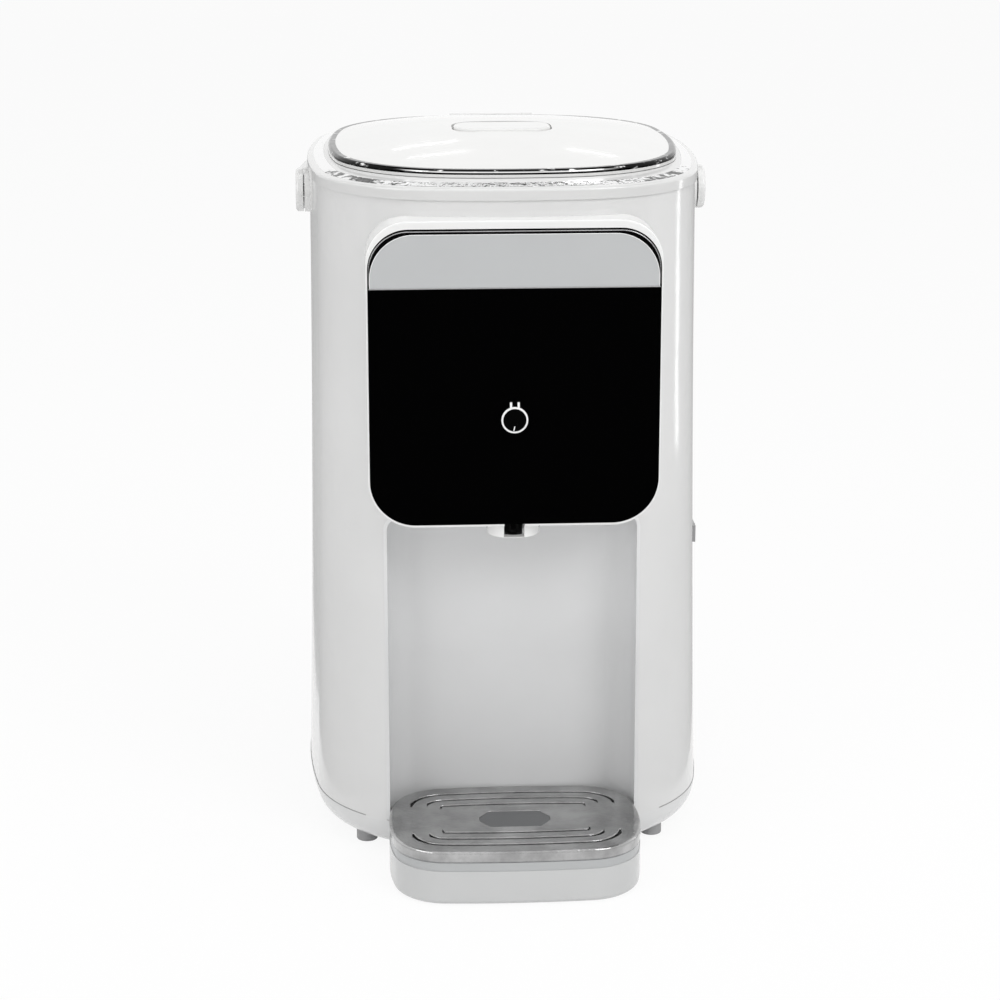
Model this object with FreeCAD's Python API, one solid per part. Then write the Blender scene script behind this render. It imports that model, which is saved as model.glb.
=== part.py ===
import FreeCAD, Part

import math
import os

# Countertop syrup dispenser, millimetres, +Z up, front towards -Y.
# The model is drawn with x = 0 and y = 0 on the axis of the round tank.
# Each piece is then moved by DATUM_Y, so the origin is on the counter under the
# middle of the whole footprint, drip tray and folded carry handle included.

Vec = FreeCAD.Vector
X_AXIS = Vec(1, 0, 0)
Y_AXIS = Vec(0, 1, 0)
Z_AXIS = Vec(0, 0, 1)

# ---------------------------------------------------------------- driving sizes
# Body outline: bowed sides joined by large round corners, all arcs tangent
BODY_WIDTH = 238.0
BODY_DEPTH = 278.0
BODY_CORNER_R = 80.0
BODY_SIDE_TURN = 9.14          # degrees, half the turn of a side's arc
BODY_FRONT_TURN = 6.85         # degrees, half the turn of the front's arc
SHELL_STEP = 1.4               # the collar stands this far proud of the shell
SHELL_WALL = 2.4
SHELL_FLARE = 6.4              # the shell is this much wider each way at its foot
FLARE_POWER = 1.6
FLARE_MID_Z = 230.0

# Heights, from the counter up
BASE_BOTTOM_Z = 4.5
BASE_SEAM_Z = 23.7
SEAM_GAP = 0.5
SHELL_TOP_Z = 404.3
DECK_Z = 410.8
RIM_TOP_Z = 414.4
BASE_ROUND = 18.0

# Collar, tank mouth and lid
RIM_OVERHANG = 0.3             # the raised rim stands out this far past the lid's edge
RIM_WIDTH = 3.0
COLLAR_EDGE_R = 1.5
FRONT_DECK = 16.0              # the collar's deck in front of, beside and behind the lid
SIDE_DECK = 13.0
REAR_DECK = 28.0
COLLAR_SKIRT = 12.0
COLLAR_LEDGE_Z = 407.5
INLAY_INSET = 3.9
INLAY_WIDTH = 6.0
INLAY_DEPTH = 1.0
INLAY_PROUD = 0.15
TANK_SIDE_ROOM = 23.5          # from the body's side to the tank's inside
TANK_WALL = 1.0
TANK_FLANGE_W = 5.5
TANK_FLANGE_T = 1.2
TANK_CONE_TOP_Z = 262.0
TANK_CONE_BOTTOM_Z = 192.0
TANK_NECK_R = 12.0
TANK_NECK_BOTTOM_Z = 176.0
TANK_FIT = 0.4

LID_CORNER_R = 80.0
LID_GAP = 0.4
LID_SKIRT_H = 1.7
LID_RING_H = 2.9
LID_RING_W = 4.4
LID_WALL = 2.0
DOME_RISE = 10.0
LINER_FIT = 0.5
LINER_PLATE_T = 3.1
LINER_PLUG_FIT = 2.5
LINER_PLUG_BOTTOM_Z = 392.0
LINER_WALL = 1.8
GASKET_LIFT = 0.3
GASKET_OVER = 4.5              # the gasket lies on the tank's flange
GASKET_WIDTH = 6.3

HINGE_BEHIND_LID = 5.0
HINGE_Z = 415.5
HINGE_KNUCKLE_R = 4.0
HINGE_PIN_R = 1.5
RUNNING_CLEARANCE = 0.05
HINGE_LEAF_HALF = 19.7
HINGE_EAR_GAP = 0.5
HINGE_EAR_W = 6.8
HINGE_PLATE_T = 1.8
HINGE_LEAF_T = 1.6
HINGE_LEAF_LENGTH = 18.0
LID_SCREW_X = 13.0
LID_SCREW_TO_HINGE = 13.5

LEVER_LENGTH = 59.0
LEVER_FRONT_Y = -25.0
LEVER_REAR_Y = 6.7
LEVER_PROUD = 0.5              # the lever's top stands this far over the dome's top
LEVER_T = 4.4
LEVER_CORNER_R = 12.0
LEVER_PIN_SETBACK = 2.5
LEVER_PIN_DEPTH = 7.3
LEVER_KNUCKLE_R = 2.6
LEVER_SIDE_GAP = 1.0
LEVER_SWING_GAP = 7.4
LEVER_WELL_DEPTH = 10.5
LEVER_WELL_WALL = 1.8
LEVER_COIL_HALF = 8.0

# Front panel
PANEL_PROUD = 11.0             # in front of the body's foremost line
PANEL_HALF_W = 85.1
PANEL_BOTTOM_Z = 214.4
PANEL_TOP_Z = 394.8
PANEL_HIGH_R = 24.5
PANEL_LOW_R = 28.0
BEZEL_SIDE_EDGE = 1.05
BEZEL_TOP_EDGE = 4.6
BEZEL_BOTTOM_EDGE = 1.4
BEZEL_FRONT_R = 0.9
BEZEL_SEAT_W = 4.0
BEZEL_SEAT_DROP = 1.0
FACE_T = 3.0
FACE_GAP = 0.15
GLASS_SPLIT_Z = 355.5
TRIM_TOP_W = 3.1
TRIM_SIDE_W = 1.2
TRIM_BAR_H = 0.8
BAND_CORNER_R = 25.0

# Dispense button
BUTTON_Z = 278.5
BUTTON_RING_R = 7.8
BUTTON_RING_PROUD = 1.0
BUTTON_SLEEVE_R = 7.3
BUTTON_CAP_R = 6.65
BUTTON_FIT = 0.1
BUTTON_TRAVEL = 1.5
BUTTON_STEM_R = 2.0
BUTTON_LUG_W = 1.3
BUTTON_LUG_H = 2.8
BUTTON_LUG_X = 2.2

# Control board behind the glass
BOARD_BEHIND_PANEL = 13.0
BOARD_T = 1.6
BOARD_HALF_W = 55.0
BOARD_LOW_Z = 240.0
BOARD_HIGH_Z = 330.0
BOARD_POST_R = 3.0
BOARD_POST_X = 48.0
TACT_SIZE = 6.0
TACT_HEIGHT = 3.4
TACT_PLUNGER_R = 1.75
SPRING_R = 4.9
SPRING_WIRE_R = 0.35
SPRING_TURNS = 5
COIL_STEPS = 12                # points on each turn of a spring's path

# Serving alcove under the panel
ALCOVE_HALF_W = 74.3
ALCOVE_DEPTH = 37.3            # from the body's foremost line
ALCOVE_WALL = 2.0
ALCOVE_CORNER_R = 16.0
ALCOVE_TOP_R = 8.0

# Spout
SPOUT_BEHIND_PANEL = 17.0
SHROUD_DROP = 8.2
SHROUD_LENGTH = 30.8
SHROUD_DEPTH = 27.0
SHROUD_CORNER_R = 13.0
SHROUD_BORE_R = 8.5
SHROUD_NOTCH_W = 11.9
SHROUD_LIP = 0.6
GUARD_R = 17.4
GUARD_LOW_R = 16.0
GUARD_H = 4.2
GUARD_FRONT = 3.0
NOZZLE_R = 5.75
NOZZLE_BORE_R = 4.0
NOZZLE_DROP = 9.4
NOZZLE_NECK_R = 5.4
NOZZLE_HEAD_R = 7.5
NOZZLE_HEAD_TOP_Z = 233.0
ELBOW_Z = 226.0
HOLE_FIT = 0.25

# Hoses and barbs
BARB_R = 4.4
BARB_BORE_R = 3.0
BARB_LENGTH = 14.0
HOSE_FIT = 0.1
HOSE_WALL = 2.0
SUCTION_BENDS = (18.0, 18.0, 13.0)
SUCTION_SIDE_X = 50.0
SUCTION_TURN_Z = 128.0
SUCTION_LOW_Z = 102.0
DELIVERY_BENDS = (13.0, 14.0, 14.0, 14.0, 14.0)
DELIVERY_SIDE_X = -50.0
DELIVERY_RISER_Y = -84.0
DELIVERY_LOW = (-80.0, 100.0)  # y and z where the hose starts to rise, and where it turns in
DELIVERY_HIGH = (-82.0, 150.0)
DELIVERY_MIDDLE_Z = 186.0

# Gear pump under the tank, shafts along Y
PUMP_Z = 56.0
GEAR_TEETH = 12
GEAR_MODULE = 1.5
GEAR_WIDTH = 11.8
GEAR_BACKLASH = 0.35
GEAR_TIP_FIT = 0.3
GEAR_END_GAP = 0.1
PRESSURE_ANGLE = 24.0          # degrees
PUMP_SHAFT_R = 3.0
PUMP_FRONT_Y = -54.0
PUMP_FLOOR_T = 8.0
PUMP_WALL = 9.0
PUMP_COVER_T = 6.0
PUMP_SHAFT_BLIND = 6.0
COUPLING_R = 8.0
COUPLING_LENGTH = 18.0
MOTOR_FACE_Y = -2.0
MOTOR_R = 18.5
MOTOR_GEARBOX_L = 24.0
MOTOR_CAN_R = 17.0
MOTOR_CAN_L = 38.0
SADDLE_LENGTH = 20.0
SADDLE_HALF_W = 16.0
SADDLE_BEHIND_GEARBOX = 8.0
SPACER_R = 4.0
BRACKET_T = 2.0
BRACKET_HALF_W = 34.0

# Drip tray and grille
TRAY_WIDTH = 150.4
TRAY_DEPTH = 102.0
TRAY_TO_ALCOVE = 1.5
TRAY_CORNER_R = 32.0
TRAY_SIDE_TURN = 12.0          # degrees
TRAY_FRONT_TURN = 4.0          # degrees
TRAY_BODY_H = 21.0
TRAY_RIM_TOP_Z = 26.3
TRAY_LIP_INSET = 1.0
TRAY_RIM_INSET = 0.5
TRAY_WALL = 2.2
TRAY_FLOOR = 2.5
TRAY_EDGE_R = 3.0
TRAY_GAP = 0.7
GRILLE_LINE = 0.7              # visible line between grille and rim
GRILLE_SEAT_GAP = 0.2
GRILLE_TOP_Z = 33.4
GRILLE_T = 1.8
GRILLE_EDGE_R = 1.4
SLOT_WIDTH = 2.4
SLOT_PITCH = 9.0
SLOT_FIRST_INSET = 11.0
SLOT_HALF_LENGTHS = (62.0, 52.0, 44.0)
SLOT_END_DEPTHS = (20.0, 18.0, 15.0)
PAD_LENGTH = 42.4
PAD_DEPTH = 24.0
PAD_FORWARD = 1.2
PAD_RECESS = 1.1
PAD_CHAMFER_X = 6.0
PAD_CHAMFER_Y = 9.0
PAD_CORNER_R = 2.0

# Carry handle
PIVOT_Z = 389.0
PIVOT_FLANGE_R = 13.7
PIVOT_PIN_R = 4.0
BAIL_SIDE_ROOM = 2.8           # from the body to the strap, beside and behind it
BAIL_REAR_ROOM = 7.0
BAIL_CORNER_EXTRA = 4.0
BAIL_T = 4.5
BAIL_HEIGHT = 15.0
BAIL_BOSS_R = 13.4
BAIL_SIDE_GAP = 0.9
GRIP_LENGTH = 96.0
GRIP_T = 1.8
STOP_GAP = 0.3

# Power
SWITCH_Y = -28.0
SWITCH_Z = 175.5
SWITCH_FLANGE_L = 15.0
SWITCH_FLANGE_H = 10.4
SWITCH_PROUD = 1.4
SWITCH_BODY_L = 13.4
SWITCH_BODY_H = 8.4
SWITCH_BODY_D = 12.0
SWITCH_WALL = 0.65
ROCKER_R = 5.9
ROCKER_TILT = 10.0             # degrees each way from level
ROCKER_PIN_R = 1.0
INLET_Z = 62.0
INLET_X = 55.0
INLET_FLANGE_W = 30.0
INLET_FLANGE_H = 23.0
INLET_PROUD = 2.2
INLET_BODY_W = 26.6
INLET_BODY_H = 19.4
INLET_BODY_D = 22.0
INLET_WALL = 2.2
INLET_CAVITY_D = 15.0
INLET_PIN_HALF_W = 1.0
INLET_PIN_HALF_H = 2.0
INLET_PIN_L = 14.0
INLET_PINS = ((-7.0, -1.5), (0.0, 2.5), (7.0, -1.5))
SUPPLY_SIZE = (54.0, 84.0, 30.0)
SUPPLY_CORNER = (-92.0, -8.0)
SUPPLY_POST_H = 4.0

# Feet and base screws
FOOT_R = 6.5
FOOT_TOP_Z = 12.0
FOOT_SPOTS = ((-88.3, -95.0), (88.3, -95.0), (-88.0, 98.0), (88.0, 98.0))
BASE_LIP_H = 8.0
BASE_LIP_T = 2.0
BASE_LIP_GAP = 0.6
BASE_SCREW_X = 104.0
BASE_SCREW_YS = (-38.0, 50.0)
BASE_SCREW_L = 30.0
BASE_SCREW_R = 2.0
BASE_SCREW_HEAD_R = 3.8
BASE_SCREW_HEAD_T = 2.4
BASE_BOSS_R = 5.5
BASE_BOSS_H = 20.0

# ---------------------------------------------------------------- derived sizes
LID_HALF_W = BODY_WIDTH / 2 - SIDE_DECK
LID_HALF_D = (BODY_DEPTH - FRONT_DECK - REAR_DECK) / 2
BODY_CENTRE_Y = (REAR_DECK - FRONT_DECK) / 2
BODY_FRONT_Y = BODY_CENTRE_Y - BODY_DEPTH / 2
MOUTH_INSET = RIM_WIDTH - RIM_OVERHANG
PANEL_Y = BODY_FRONT_Y - PANEL_PROUD
BOARD_Y = PANEL_Y + BOARD_BEHIND_PANEL
SPOUT_Y = PANEL_Y + SPOUT_BEHIND_PANEL
ALCOVE_BACK_Y = BODY_FRONT_Y + ALCOVE_DEPTH
TRAY_REAR_Y = ALCOVE_BACK_Y - TRAY_TO_ALCOVE
SHROUD_BOTTOM_Z = PANEL_BOTTOM_Z - SHROUD_DROP
NOZZLE_BOTTOM_Z = PANEL_BOTTOM_Z - NOZZLE_DROP
HINGE_Y = LID_HALF_D + HINGE_BEHIND_LID
HINGE_LEAF_FRONT_Y = HINGE_Y - HINGE_LEAF_LENGTH
LID_SCREW_Y = HINGE_Y - LID_SCREW_TO_HINGE
TANK_INNER_R = BODY_WIDTH / 2 - TANK_SIDE_ROOM
LINER_PLUG_R = TANK_INNER_R - LINER_PLUG_FIT
GASKET_OUTER_R = TANK_INNER_R + TANK_WALL + GASKET_OVER
GASKET_INNER_R = GASKET_OUTER_R - GASKET_WIDTH
BARB_HOSE_R = BARB_R + HOSE_FIT
HOSE_R = BARB_HOSE_R + HOSE_WALL
TANK_OUTER_R = TANK_INNER_R + TANK_WALL
TANK_RIM_Z = COLLAR_LEDGE_Z + TANK_FLANGE_T
LID_BOTTOM_Z = RIM_TOP_Z + LID_GAP
LID_RING_Z = LID_BOTTOM_Z + LID_SKIRT_H
LID_EDGE_Z = LID_RING_Z + LID_RING_H
LINER_PLATE_Z = LID_BOTTOM_Z - LINER_PLATE_T
LEVER_TOP_Z = LID_EDGE_Z + DOME_RISE + LEVER_PROUD
LEVER_PIN_Y = LEVER_REAR_Y - LEVER_PIN_SETBACK
LEVER_PIN_Z = LEVER_TOP_Z - LEVER_PIN_DEPTH
LEVER_WELL_FLOOR_Z = LEVER_TOP_Z - LEVER_WELL_DEPTH
GEAR_PITCH_R = GEAR_MODULE * GEAR_TEETH / 2
GEAR_TIP_R = GEAR_PITCH_R + 0.8 * GEAR_MODULE
GEAR_ROOT_R = GEAR_PITCH_R - 1.05 * GEAR_MODULE
IDLER_Z = PUMP_Z + 2 * GEAR_PITCH_R
PORT_Z = PUMP_Z + GEAR_PITCH_R
PUMP_CAVITY_FRONT_Y = PUMP_FRONT_Y + PUMP_FLOOR_T
PUMP_COVER_Y = PUMP_CAVITY_FRONT_Y + GEAR_WIDTH + 2 * GEAR_END_GAP
PUMP_BACK_Y = PUMP_COVER_Y + PUMP_COVER_T
PUMP_HALF_W = GEAR_TIP_R + GEAR_TIP_FIT + PUMP_WALL
PORT_Y = (PUMP_CAVITY_FRONT_Y + PUMP_COVER_Y) / 2
TRAY_CENTRE_Y = TRAY_REAR_Y - TRAY_DEPTH / 2
TRAY_FRONT_Y = TRAY_REAR_Y - TRAY_DEPTH
PAD_Y = TRAY_CENTRE_Y - PAD_FORWARD
PIVOT_Y = BODY_CENTRE_Y
BAIL_INNER_HALF_W = BODY_WIDTH / 2 + BAIL_SIDE_ROOM
BAIL_INNER_REAR_Y = BODY_CENTRE_Y + BODY_DEPTH / 2 + BAIL_REAR_ROOM
BAIL_OUTER_HALF_W = BAIL_INNER_HALF_W + BAIL_T
BAIL_OUTER_REAR_Y = BAIL_INNER_REAR_Y + BAIL_T
GRIP_REAR_Y = BAIL_OUTER_REAR_Y + GRIP_T
DATUM_Y = -(TRAY_FRONT_Y + GRIP_REAR_Y) / 2
BASE_FLOOR_Z = BASE_BOTTOM_Z + SHELL_WALL


# ---------------------------------------------------------------- drawing tools
def box(x0, x1, y0, y1, z0, z1):
    """Block between two corners."""
    return Part.makeBox(x1 - x0, y1 - y0, z1 - z0, Vec(x0, y0, z0))


def rod(radius, start, length, axis=Z_AXIS):
    """Round bar from a point along an axis."""
    return Part.makeCylinder(radius, length, Vec(*start), axis)


def tube(outer_r, inner_r, start, length, axis=Z_AXIS):
    """Round pipe from a point along an axis."""
    return rod(outer_r, start, length, axis).cut(rod(inner_r, start, length, axis))


def bowed_outline(half_w, half_d, corner_r, side_turn, front_turn, z, centre_y=0.0):
    """Closed wire of four bowed sides and four round corners, all tangent arcs."""
    side = math.radians(side_turn)
    front = math.radians(front_turn)
    reach_w = half_w - corner_r
    reach_d = half_d - corner_r
    scale = (1 - math.cos(side)) * (1 - math.cos(front)) - math.sin(side) * math.sin(front)
    side_extra = (reach_w * (1 - math.cos(front)) - reach_d * math.sin(front)) / scale
    front_extra = (reach_d * (1 - math.cos(side)) - reach_w * math.sin(side)) / scale
    side_r = side_extra + corner_r
    front_r = front_extra + corner_r
    side_cx = half_w - side_r
    front_cy = half_d - front_r
    corner_cx = side_cx + side_extra * math.cos(side)
    corner_cy = side_extra * math.sin(side)
    middle = (side + math.pi / 2 - front) / 2

    def spot(cx, cy, radius, angle):
        return cx + radius * math.cos(angle), cy + radius * math.sin(angle)

    side_end = spot(side_cx, 0, side_r, side)
    corner_mid = spot(corner_cx, corner_cy, corner_r, middle)
    front_end = spot(0, front_cy, front_r, math.pi / 2 - front)
    points = [(side_end[0], -side_end[1]), (half_w, 0), side_end, corner_mid, front_end, (0, half_d)]
    points += [(-x, y) for x, y in reversed(points[2:5])]
    points += [(-half_w, 0)]
    points += [(x, -y) for x, y in points[8:5:-1]]
    points += [(0, -half_d)]
    points += [(-x, y) for x, y in reversed(points[10:13])]
    placed = [Vec(x, y + centre_y, z) for x, y in points]
    edges = []
    for i in range(0, 16, 2):
        edges.append(Part.Arc(placed[i], placed[i + 1], placed[(i + 2) % 16]).toShape())
    return Part.Wire(edges)


def body_outline(z, inset=0.0, spread=0.0):
    """The body's outline at a height, moved in by inset and out by spread."""
    grow = spread - inset
    return bowed_outline(
        BODY_WIDTH / 2 + grow,
        BODY_DEPTH / 2 + grow,
        BODY_CORNER_R + grow,
        BODY_SIDE_TURN,
        BODY_FRONT_TURN,
        z,
        BODY_CENTRE_Y,
    )


def lid_outline(z, inset=0.0, share=1.0):
    """The lid's outline at a height, moved in by inset, then shrunk to a share."""
    return bowed_outline(
        (LID_HALF_W - inset) * share,
        (LID_HALF_D - inset) * share,
        (LID_CORNER_R - inset) * share,
        BODY_SIDE_TURN,
        BODY_FRONT_TURN,
        z,
    )


def tray_outline(z, inset=0.0):
    """The drip tray's outline at a height, moved in by inset."""
    return bowed_outline(
        TRAY_WIDTH / 2 - inset,
        TRAY_DEPTH / 2 - inset,
        TRAY_CORNER_R - inset,
        TRAY_SIDE_TURN,
        TRAY_FRONT_TURN,
        z,
        TRAY_CENTRE_Y,
    )


def raised(wire, height):
    """Solid between an outline and its copy higher up."""
    return Part.Face(wire).extrude(Vec(0, 0, height))


def body_prism(z0, z1, inset=0.0, spread=0.0):
    return raised(body_outline(z0, inset, spread), z1 - z0)


def lid_prism(z0, z1, inset=0.0):
    return raised(lid_outline(z0, inset), z1 - z0)


def tray_prism(z0, z1, inset=0.0):
    return raised(tray_outline(z0, inset), z1 - z0)


def flare(z):
    """How far the shell spreads at a height."""
    drop = max(SHELL_TOP_Z - z, 0.0) / (SHELL_TOP_Z - BASE_SEAM_Z)
    return SHELL_FLARE * drop**FLARE_POWER


def shell_volume(inset=0.0, over=0.0):
    """Solid inside the shell's outer face, moved in by inset and longer by over."""
    heights = (SHELL_TOP_Z + over, FLARE_MID_Z, BASE_SEAM_Z - over)
    wires = [body_outline(z, inset + SHELL_STEP, flare(z)) for z in heights]
    return Part.makeLoft(wires, True, False)


def shell_side_x(y, z, inset=0.0):
    """Half-width of the shell's outer face at a place near its side's middle."""
    section = body_outline(z, inset + SHELL_STEP, flare(z))
    side = Part.makeLine(Vec(0, y, z), Vec(BODY_WIDTH, y, z))
    return section.distToShape(side)[1][0][0].x


def round_rect_y(half_w, z0, z1, r_low, r_high, y0, y1):
    """Upright plate with round corners, from y0 back to y1."""
    face_edges = []
    low = Vec(0, 0, z0)
    corners = (
        (half_w - r_low, z0 + r_low, r_low, -90),
        (half_w - r_high, z1 - r_high, r_high, 0),
        (-half_w + r_high, z1 - r_high, r_high, 90),
        (-half_w + r_low, z0 + r_low, r_low, 180),
    )
    arcs = []
    for cx, cz, radius, start in corners:
        spots = []
        for turn in (0, 45, 90):
            angle = math.radians(start + turn)
            spots.append(Vec(cx + radius * math.cos(angle), y0, cz + radius * math.sin(angle)))
        arcs.append(spots)
    for i, spots in enumerate(arcs):
        face_edges.append(Part.Arc(*spots).toShape())
        following = arcs[(i + 1) % 4][0]
        if (following - spots[2]).Length > 1e-6:
            face_edges.append(Part.makeLine(spots[2], following))
    return Part.Face(Part.Wire(face_edges)).extrude(Vec(0, y1 - y0, 0))


def round_slab(half_w, y0, y1, radius, z0, z1):
    """Flat plate with round corners seen from above."""
    slab = box(-half_w, half_w, y0, y1, z0, z1)
    upright = [e for e in slab.Edges if abs(e.tangentAt(e.FirstParameter).z) > 0.99]
    return slab.makeFillet(radius, upright)


def edges_at(shape, height):
    """Edges that lie flat at a height."""
    found = []
    for edge in shape.Edges:
        bounds = edge.BoundBox
        if abs(bounds.ZMin - height) < 1e-4 and abs(bounds.ZMax - height) < 1e-4:
            found.append(edge)
    return found


def hose(points, bend_radii):
    """Flexible tube along straight runs joined by tangent arcs."""
    spots = [Vec(*p) for p in points]
    edges = []
    start = spots[0]
    for i, radius in enumerate(bend_radii):
        corner = spots[i + 1]
        back = (spots[i] - corner).normalize()
        ahead = (spots[i + 2] - corner).normalize()
        half_angle = back.getAngle(ahead) / 2
        cut = radius / math.tan(half_angle)
        enter = corner + back * cut
        leave = corner + ahead * cut
        middle_line = (back + ahead).normalize()
        middle = corner + middle_line * (radius / math.sin(half_angle) - radius)
        edges.append(Part.makeLine(start, enter))
        edges.append(Part.Arc(enter, middle, leave).toShape())
        start = leave
    edges.append(Part.makeLine(start, spots[-1]))
    path = Part.Wire(edges)
    heading = (spots[1] - spots[0]).normalize()
    outer = Part.Wire(Part.Circle(spots[0], heading, HOSE_R).toShape())
    inner = Part.Wire(Part.Circle(spots[0], heading, BARB_HOSE_R).toShape())
    skin = path.makePipeShell([outer], True, True)
    bore = path.makePipeShell([inner], True, True)
    return skin.cut(bore)


def coil(radius, wire_r, length, turns):
    """Round-wire spring standing on z = 0, swept along one smooth spline."""
    steps = COIL_STEPS * turns
    points = []
    for i in range(steps + 1):
        angle = 2 * math.pi * i / COIL_STEPS
        points.append(Vec(radius * math.cos(angle), radius * math.sin(angle), length * i / steps))
    path = Part.BSplineCurve()
    path.interpolate(points)
    along = Vec(0, 1, length / (2 * math.pi * radius * turns))
    section = Part.Wire(Part.Circle(points[0], along, wire_r).toShape())
    return Part.Wire(path.toShape()).makePipeShell([section], True, True)


def save(shape, node):
    """Write one node, moved to the object's datum."""
    moved = shape.copy()
    moved.translate(Vec(0, DATUM_Y, 0))
    moved.exportStep(os.path.join("parts", node + ".step"))


# ---------------------------------------------------------------- housing
def alcove_space(extra, z_low):
    """Serving space cut into the front, made larger all round by extra."""
    top = PANEL_BOTTOM_Z + extra
    space = box(
        -ALCOVE_HALF_W - extra,
        ALCOVE_HALF_W + extra,
        -BODY_DEPTH,
        ALCOVE_BACK_Y + extra,
        z_low,
        top,
    )
    rear = ALCOVE_BACK_Y + extra
    upright = [
        e for e in space.Edges
        if abs(e.tangentAt(e.FirstParameter).z) > 0.99 and abs(e.CenterOfMass.y - rear) < 0.01
    ]
    space = space.makeFillet(ALCOVE_CORNER_R + extra, upright)
    ceiling = []
    for edge in edges_at(space, top):
        if edge.BoundBox.YMin > -BODY_DEPTH + 1 or edge.BoundBox.YLength > 1:
            ceiling.append(edge)
    return space.makeFillet(ALCOVE_TOP_R + extra, ceiling)


def switch_x():
    return shell_side_x(SWITCH_Y, SWITCH_Z)


def inlet_y():
    section = body_outline(INLET_Z, SHELL_STEP, flare(INLET_Z))
    line = Part.makeLine(Vec(INLET_X, 0, INLET_Z), Vec(INLET_X, BODY_DEPTH, INLET_Z))
    return section.distToShape(line)[1][0][0].y


def base_screw_spots():
    return [(side * BASE_SCREW_X, y) for side in (-1, 1) for y in BASE_SCREW_YS]


def outer_shell(envelope):
    shell = envelope.cut(shell_volume(SHELL_WALL, 2.0))
    shell = shell.cut(alcove_space(ALCOVE_WALL, -10.0))
    opening = round_rect_y(
        PANEL_HALF_W - 8,
        PANEL_BOTTOM_Z + ALCOVE_WALL + 7,
        PANEL_TOP_Z - 8,
        PANEL_LOW_R - 8,
        PANEL_HIGH_R - 8,
        PANEL_Y,
        -80.0,
    )
    shell = shell.cut(opening)
    shell = shell.cut(rod(NOZZLE_HEAD_R + 0.6, (0, SPOUT_Y, PANEL_BOTTOM_Z), 20.0))
    for side in (-1, 1):
        start = (side * (BODY_WIDTH / 2 + 10), PIVOT_Y, PIVOT_Z)
        shell = shell.cut(rod(PIVOT_PIN_R, start, 40.0, Vec(-side, 0, 0)))
    face_x = switch_x()
    half_l = SWITCH_BODY_L / 2
    half_h = SWITCH_BODY_H / 2
    shell = shell.cut(
        box(
            face_x - 12,
            face_x + 5,
            SWITCH_Y - half_l,
            SWITCH_Y + half_l,
            SWITCH_Z - half_h,
            SWITCH_Z + half_h,
        )
    )
    shell = shell.cut(
        box(
            INLET_X - INLET_BODY_W / 2,
            INLET_X + INLET_BODY_W / 2,
            90.0,
            BODY_DEPTH,
            INLET_Z - INLET_BODY_H / 2,
            INLET_Z + INLET_BODY_H / 2,
        )
    )
    boss_z = BASE_SEAM_Z + SEAM_GAP
    inside = shell_volume(SHELL_WALL / 2, 0.0)
    for x, y in base_screw_spots():
        side = math.copysign(1, x)
        boss = rod(BASE_BOSS_R, (x, y, boss_z), BASE_BOSS_H)
        rib_end = x + side * 30
        rib = box(min(x, rib_end), max(x, rib_end), y - 1.5, y + 1.5, boss_z, boss_z + BASE_BOSS_H)
        boss = boss.fuse(rib).common(inside)
        shell = shell.fuse(boss)
        shell = shell.cut(rod(BASE_SCREW_R, (x, y, boss_z - 1), BASE_BOSS_H - 3))
    return shell.removeSplitter()


def deck_volume(lift):
    """Solid under the collar's sloping deck, with that deck raised by lift."""
    band = body_prism(SHELL_TOP_Z, DECK_Z + lift)
    slope = [body_outline(DECK_Z + lift), lid_outline(RIM_TOP_Z + lift, -RIM_OVERHANG)]
    return band.fuse(Part.makeLoft(slope, True, True))


def collar_blank():
    """Collar with its raised rim, before the tank mouth is cut."""
    blank = deck_volume(0.0)
    blank = blank.makeFillet(COLLAR_EDGE_R, edges_at(blank, DECK_Z))
    skirt_inset = SHELL_STEP + SHELL_WALL + 0.3
    skirt = body_prism(SHELL_TOP_Z - COLLAR_SKIRT, SHELL_TOP_Z + 1, skirt_inset)
    skirt = skirt.cut(body_prism(SHELL_TOP_Z - COLLAR_SKIRT, SHELL_TOP_Z + 1, skirt_inset + 2.0))
    return blank.fuse(skirt)


def inlay_ring_space():
    """Ring-shaped groove that follows the collar's sloping deck."""
    outer = body_prism(SHELL_TOP_Z, RIM_TOP_Z, INLAY_INSET)
    ring = outer.cut(body_prism(SHELL_TOP_Z, RIM_TOP_Z, INLAY_INSET + INLAY_WIDTH))
    return ring.cut(deck_volume(-INLAY_DEPTH))


def hinge_pocket():
    half = HINGE_LEAF_HALF + HINGE_EAR_GAP + HINGE_EAR_W + 0.6
    floor = DECK_Z - 0.6 - HINGE_PLATE_T
    return box(-half, half, HINGE_LEAF_FRONT_Y + 8, HINGE_Y + 6.5, floor, RIM_TOP_Z + 2)


def top_collar():
    collar = collar_blank()
    collar = collar.cut(lid_prism(COLLAR_LEDGE_Z, RIM_TOP_Z + 1, MOUTH_INSET))
    hole_r = TANK_OUTER_R + TANK_FIT
    collar = collar.cut(rod(hole_r, (0, 0, SHELL_TOP_Z - 1), COLLAR_LEDGE_Z - SHELL_TOP_Z + 2))
    collar = collar.cut(inlay_ring_space())
    collar = collar.cut(hinge_pocket())
    for side in (-1, 1):
        start = (side * (BODY_WIDTH / 2 + 10), PIVOT_Y, PIVOT_Z)
        collar = collar.cut(rod(PIVOT_FLANGE_R, start, 40.0, Vec(-side, 0, 0)))
    return collar.removeSplitter()


def collar_inlay():
    return inlay_ring_space().common(deck_volume(INLAY_PROUD))


def base_volume(inset, z_low, round_r):
    """Bowl inside the base cover's outer face, moved in by inset."""
    spread = flare(BASE_SEAM_Z)
    bowl = body_prism(z_low, BASE_SEAM_Z, inset + SHELL_STEP, spread)
    return bowl.makeFillet(round_r, edges_at(bowl, z_low))


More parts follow.
